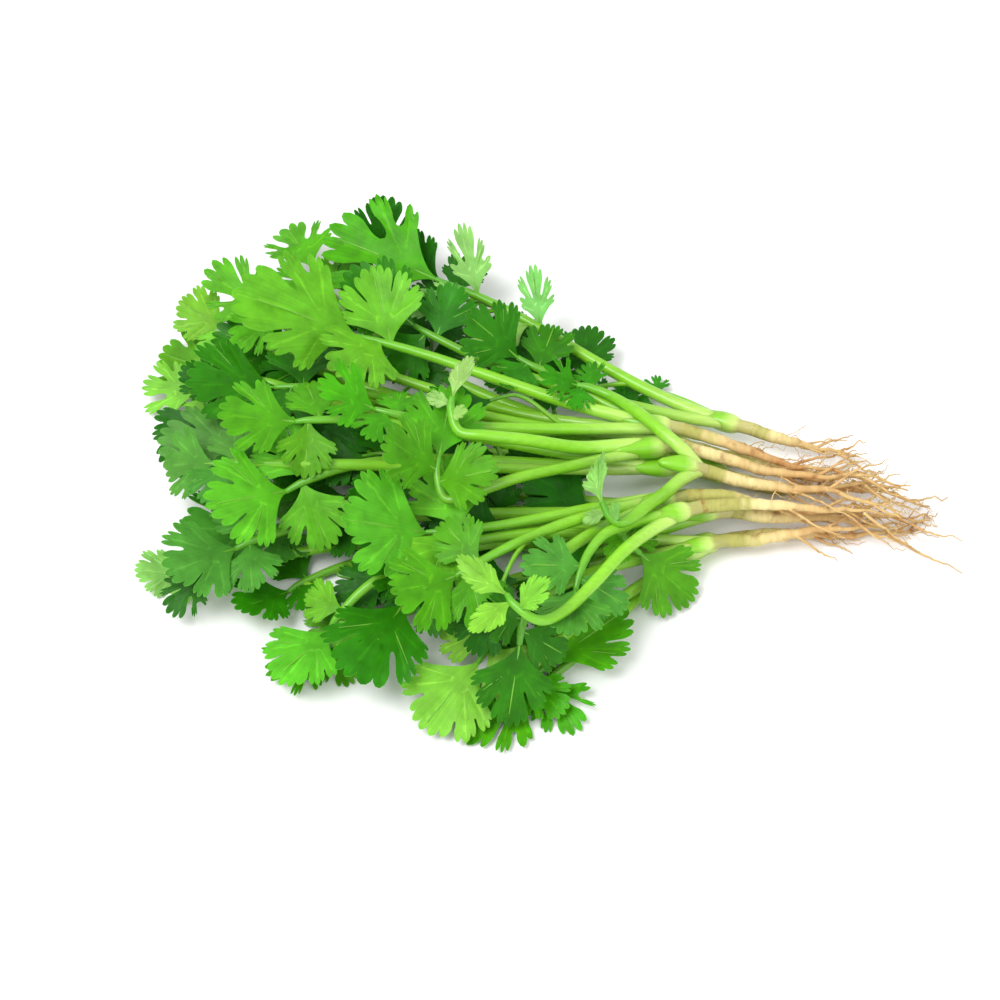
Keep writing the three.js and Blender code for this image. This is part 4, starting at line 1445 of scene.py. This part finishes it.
def leaf_material():
    """Leaf skin: paler veins and underside, a fine grain, and some light let through."""
    material, tree, shader, tint, spot = plant_skin("leaf_skin", TONES["mid"])
    fan = {"W": attribute(tree, "fan")["Fac"], "Scale": 36.0, "Detail": 2.0}
    rays = node(tree, "ShaderNodeTexNoise", fan, noise_dimensions="1D").outputs["Fac"]
    grain = noise(tree, spot, 1400.0, 2.0)
    line = ramp(tree, attribute(tree, "vein")["Fac"], [(0.86, 0), (0.99, 1)])
    patches = ramp(tree, noise(tree, spot, 160.0, 3.0), [(0.3, 0.78), (0.7, 1.2)])
    patched = times(tree, tint["Color"], patches)
    patched = times(tree, patched, ramp(tree, rays, [(0.35, 0.93), (0.65, 1.04)]))
    mixed = blend_colour(tree, line, patched, times(tree, patched, VEIN_LIGHTENS))
    under = blend_colour(tree, 0.5, mixed, UNDERSIDE)
    colour = blend_colour(tree, tint["Alpha"], under, mixed)
    tree.links.new(colour, shader.inputs["Base Color"])
    rough = ramp(tree, grain, [(0.3, 0.4), (0.7, 0.55)])
    tree.links.new(rough, shader.inputs["Roughness"])
    set_inputs(shader, {
        "Specular IOR Level": 0.16,
        "Subsurface Weight": 0.35,
        "Subsurface Radius": (0.4, 1.0, 0.12),
        "Subsurface Scale": 0.0012,
    })
    add_bumps(tree, shader, blend_colour(tree, 0.45, grain, rays), 0.35, 0.00012)
    return material


def stem_material():
    """Smooth, juicy stem skin with fine lengthwise strands."""
    material, tree, shader, tint, spot = plant_skin("stem_skin", STEM_LIME)
    strands = streaks(tree, spot, (60.0, 900.0, 900.0), 2.0)
    colour = times(tree, tint["Color"], ramp(tree, strands, [(0.3, 0.92), (0.7, 1.06)]))
    tree.links.new(colour, shader.inputs["Base Color"])
    set_inputs(shader, {
        "Roughness": 0.3,
        "Specular IOR Level": 0.45,
        "Subsurface Weight": 0.3,
        "Subsurface Radius": (0.7, 1.0, 0.2),
        "Subsurface Scale": 0.0015,
    })
    add_bumps(tree, shader, strands, 0.1, 0.0002)
    return material


def root_material():
    """Dull root skin with crosswise wrinkles and clinging soil."""
    material, tree, shader, tint, spot = plant_skin("root_skin", ROOT_TAN)
    wrinkles = streaks(tree, spot, (900.0, 250.0, 250.0), 4.0)
    soiled = ramp(tree, noise(tree, spot, 260.0, 4.0), [(0.55, 0), (0.72, 0.65)])
    colour = times(tree, tint["Color"], ramp(tree, wrinkles, [(0.3, 0.86), (0.7, 1.08)]))
    colour = blend_colour(tree, soiled, colour, SOIL)
    tree.links.new(colour, shader.inputs["Base Color"])
    set_inputs(shader, {"Roughness": 0.75, "Specular IOR Level": 0.25})
    add_bumps(tree, shader, wrinkles, 0.25, 0.0004)
    return material


# ---------------------------------------------------------------- the bunch
leaf_skin = leaf_material()
stem_skin = stem_material()
root_skin = root_material()
HAIRS_PAST_SOLIDS = 3
LAST_ROOT_TIP = CAD_BOX[1][0] * 1000 + BUNCH_CENTRE[0] + HAIRS_PAST_SOLIDS
RIB_COLOUR = linear("#6fb034", 0.0)


def dress(plant):
    """Makes the plant's blades, stems and roots, in place of its two solids."""
    name = f"plant_{plant['number']:02d}"
    random = np.random.default_rng(plant["number"])
    blades, stems, roots = Shape(), Shape(), Shape()
    for laid in plant["leaves"]:
        add_stem(stems, laid, random)
        for leaflet in laid["leaflets"]:
            add_blade(blades, leaflet, random)
            add_ribs(stems, leaflet, RIB_COLOUR)
    for filler in plant["fillers"]:
        add_branch(stems, filler, random)
        for leaflet in filler["leaflets"]:
            add_blade(blades, leaflet, random)
    add_bulb(stems, plant, random)
    path = add_root(roots, plant, random)
    add_hair_roots(roots, path, LAST_ROOT_TIP, random)
    pieces = [
        (blades.finish(f"{name}_blades", leaf_skin), "leaf_green", f"{name}_leaves"),
        (stems.finish(f"{name}_stems", stem_skin), "leaf_green", f"{name}_leaves"),
        (roots.finish(f"{name}_rootlets", root_skin), "root_tan", f"{name}_root"),
    ]
    for piece, slot, solid in pieces:
        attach(piece, "root")
        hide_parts(solid)


laid_plants = [lay_plant(index + 1, *row) for index, row in enumerate(PLANTS)]
add_fillers(laid_plants)
for laid_plant in laid_plants:
    dress(laid_plant)


# ---------------------------------------------------------------- floor, light and camera
VIEW_CENTRE = Vector((-0.0132, -0.0066, 0))
VIEW_HEIGHT = math.radians(55)
VIEW_DISTANCE = 0.8
VIEW_WIDTH = 0.31
SENSOR = 36
FLOOR_HALF = 3
FLOOR_COLOUR = (0.9, 0.9, 0.9, 1)


def make_floor():
    mesh = bpy.data.meshes.new("floor")
    corners = [(x * FLOOR_HALF, y * FLOOR_HALF, 0) for x, y in ((-1, -1), (1, -1), (1, 1), (-1, 1))]
    mesh.from_pydata(corners, [], [[0, 1, 2, 3]])
    material, _, shader = new_material("pale_floor", FLOOR_COLOUR)
    set_inputs(shader, {"Base Color": FLOOR_COLOUR, "Roughness": 0.9, "Specular IOR Level": 0.1})
    mesh.materials.append(material)
    floor = add_object("floor", mesh)


def aim(holder, at, towards):
    holder.location = at
    holder.rotation_euler = towards.to_track_quat("-Z", "Y").to_euler()


def add_lamp(name, at, size, power):
    """A square soft light, aimed at the bunch."""
    lamp = bpy.data.lights.new(name, "AREA")
    lamp.size = size
    lamp.energy = power
    aim(add_object(name, lamp), at, -Vector(at))


def make_light():
    world = bpy.data.worlds.new("studio")
    bpy.context.scene.world = world
    world.use_nodes = True
    set_inputs(world.node_tree.nodes["Background"], {"Color": (1, 1, 1, 1), "Strength": 0.84})
    add_lamp("key", (-0.5, -0.25, 1.1), 0.6, 11)
    add_lamp("fill", (0.7, -0.8, 0.9), 0.8, 4)
    bpy.context.scene.view_settings.view_transform = "Standard"


def make_camera():
    camera = bpy.data.cameras.new("camera")
    camera.sensor_width = SENSOR
    camera.lens = SENSOR * VIEW_DISTANCE / VIEW_WIDTH
    holder = add_object("camera", camera)
    away = Vector((0, -math.cos(VIEW_HEIGHT), math.sin(VIEW_HEIGHT)))
    aim(holder, VIEW_CENTRE + away * VIEW_DISTANCE, -away)
    bpy.context.scene.camera = holder


make_floor()
make_light()
make_camera()
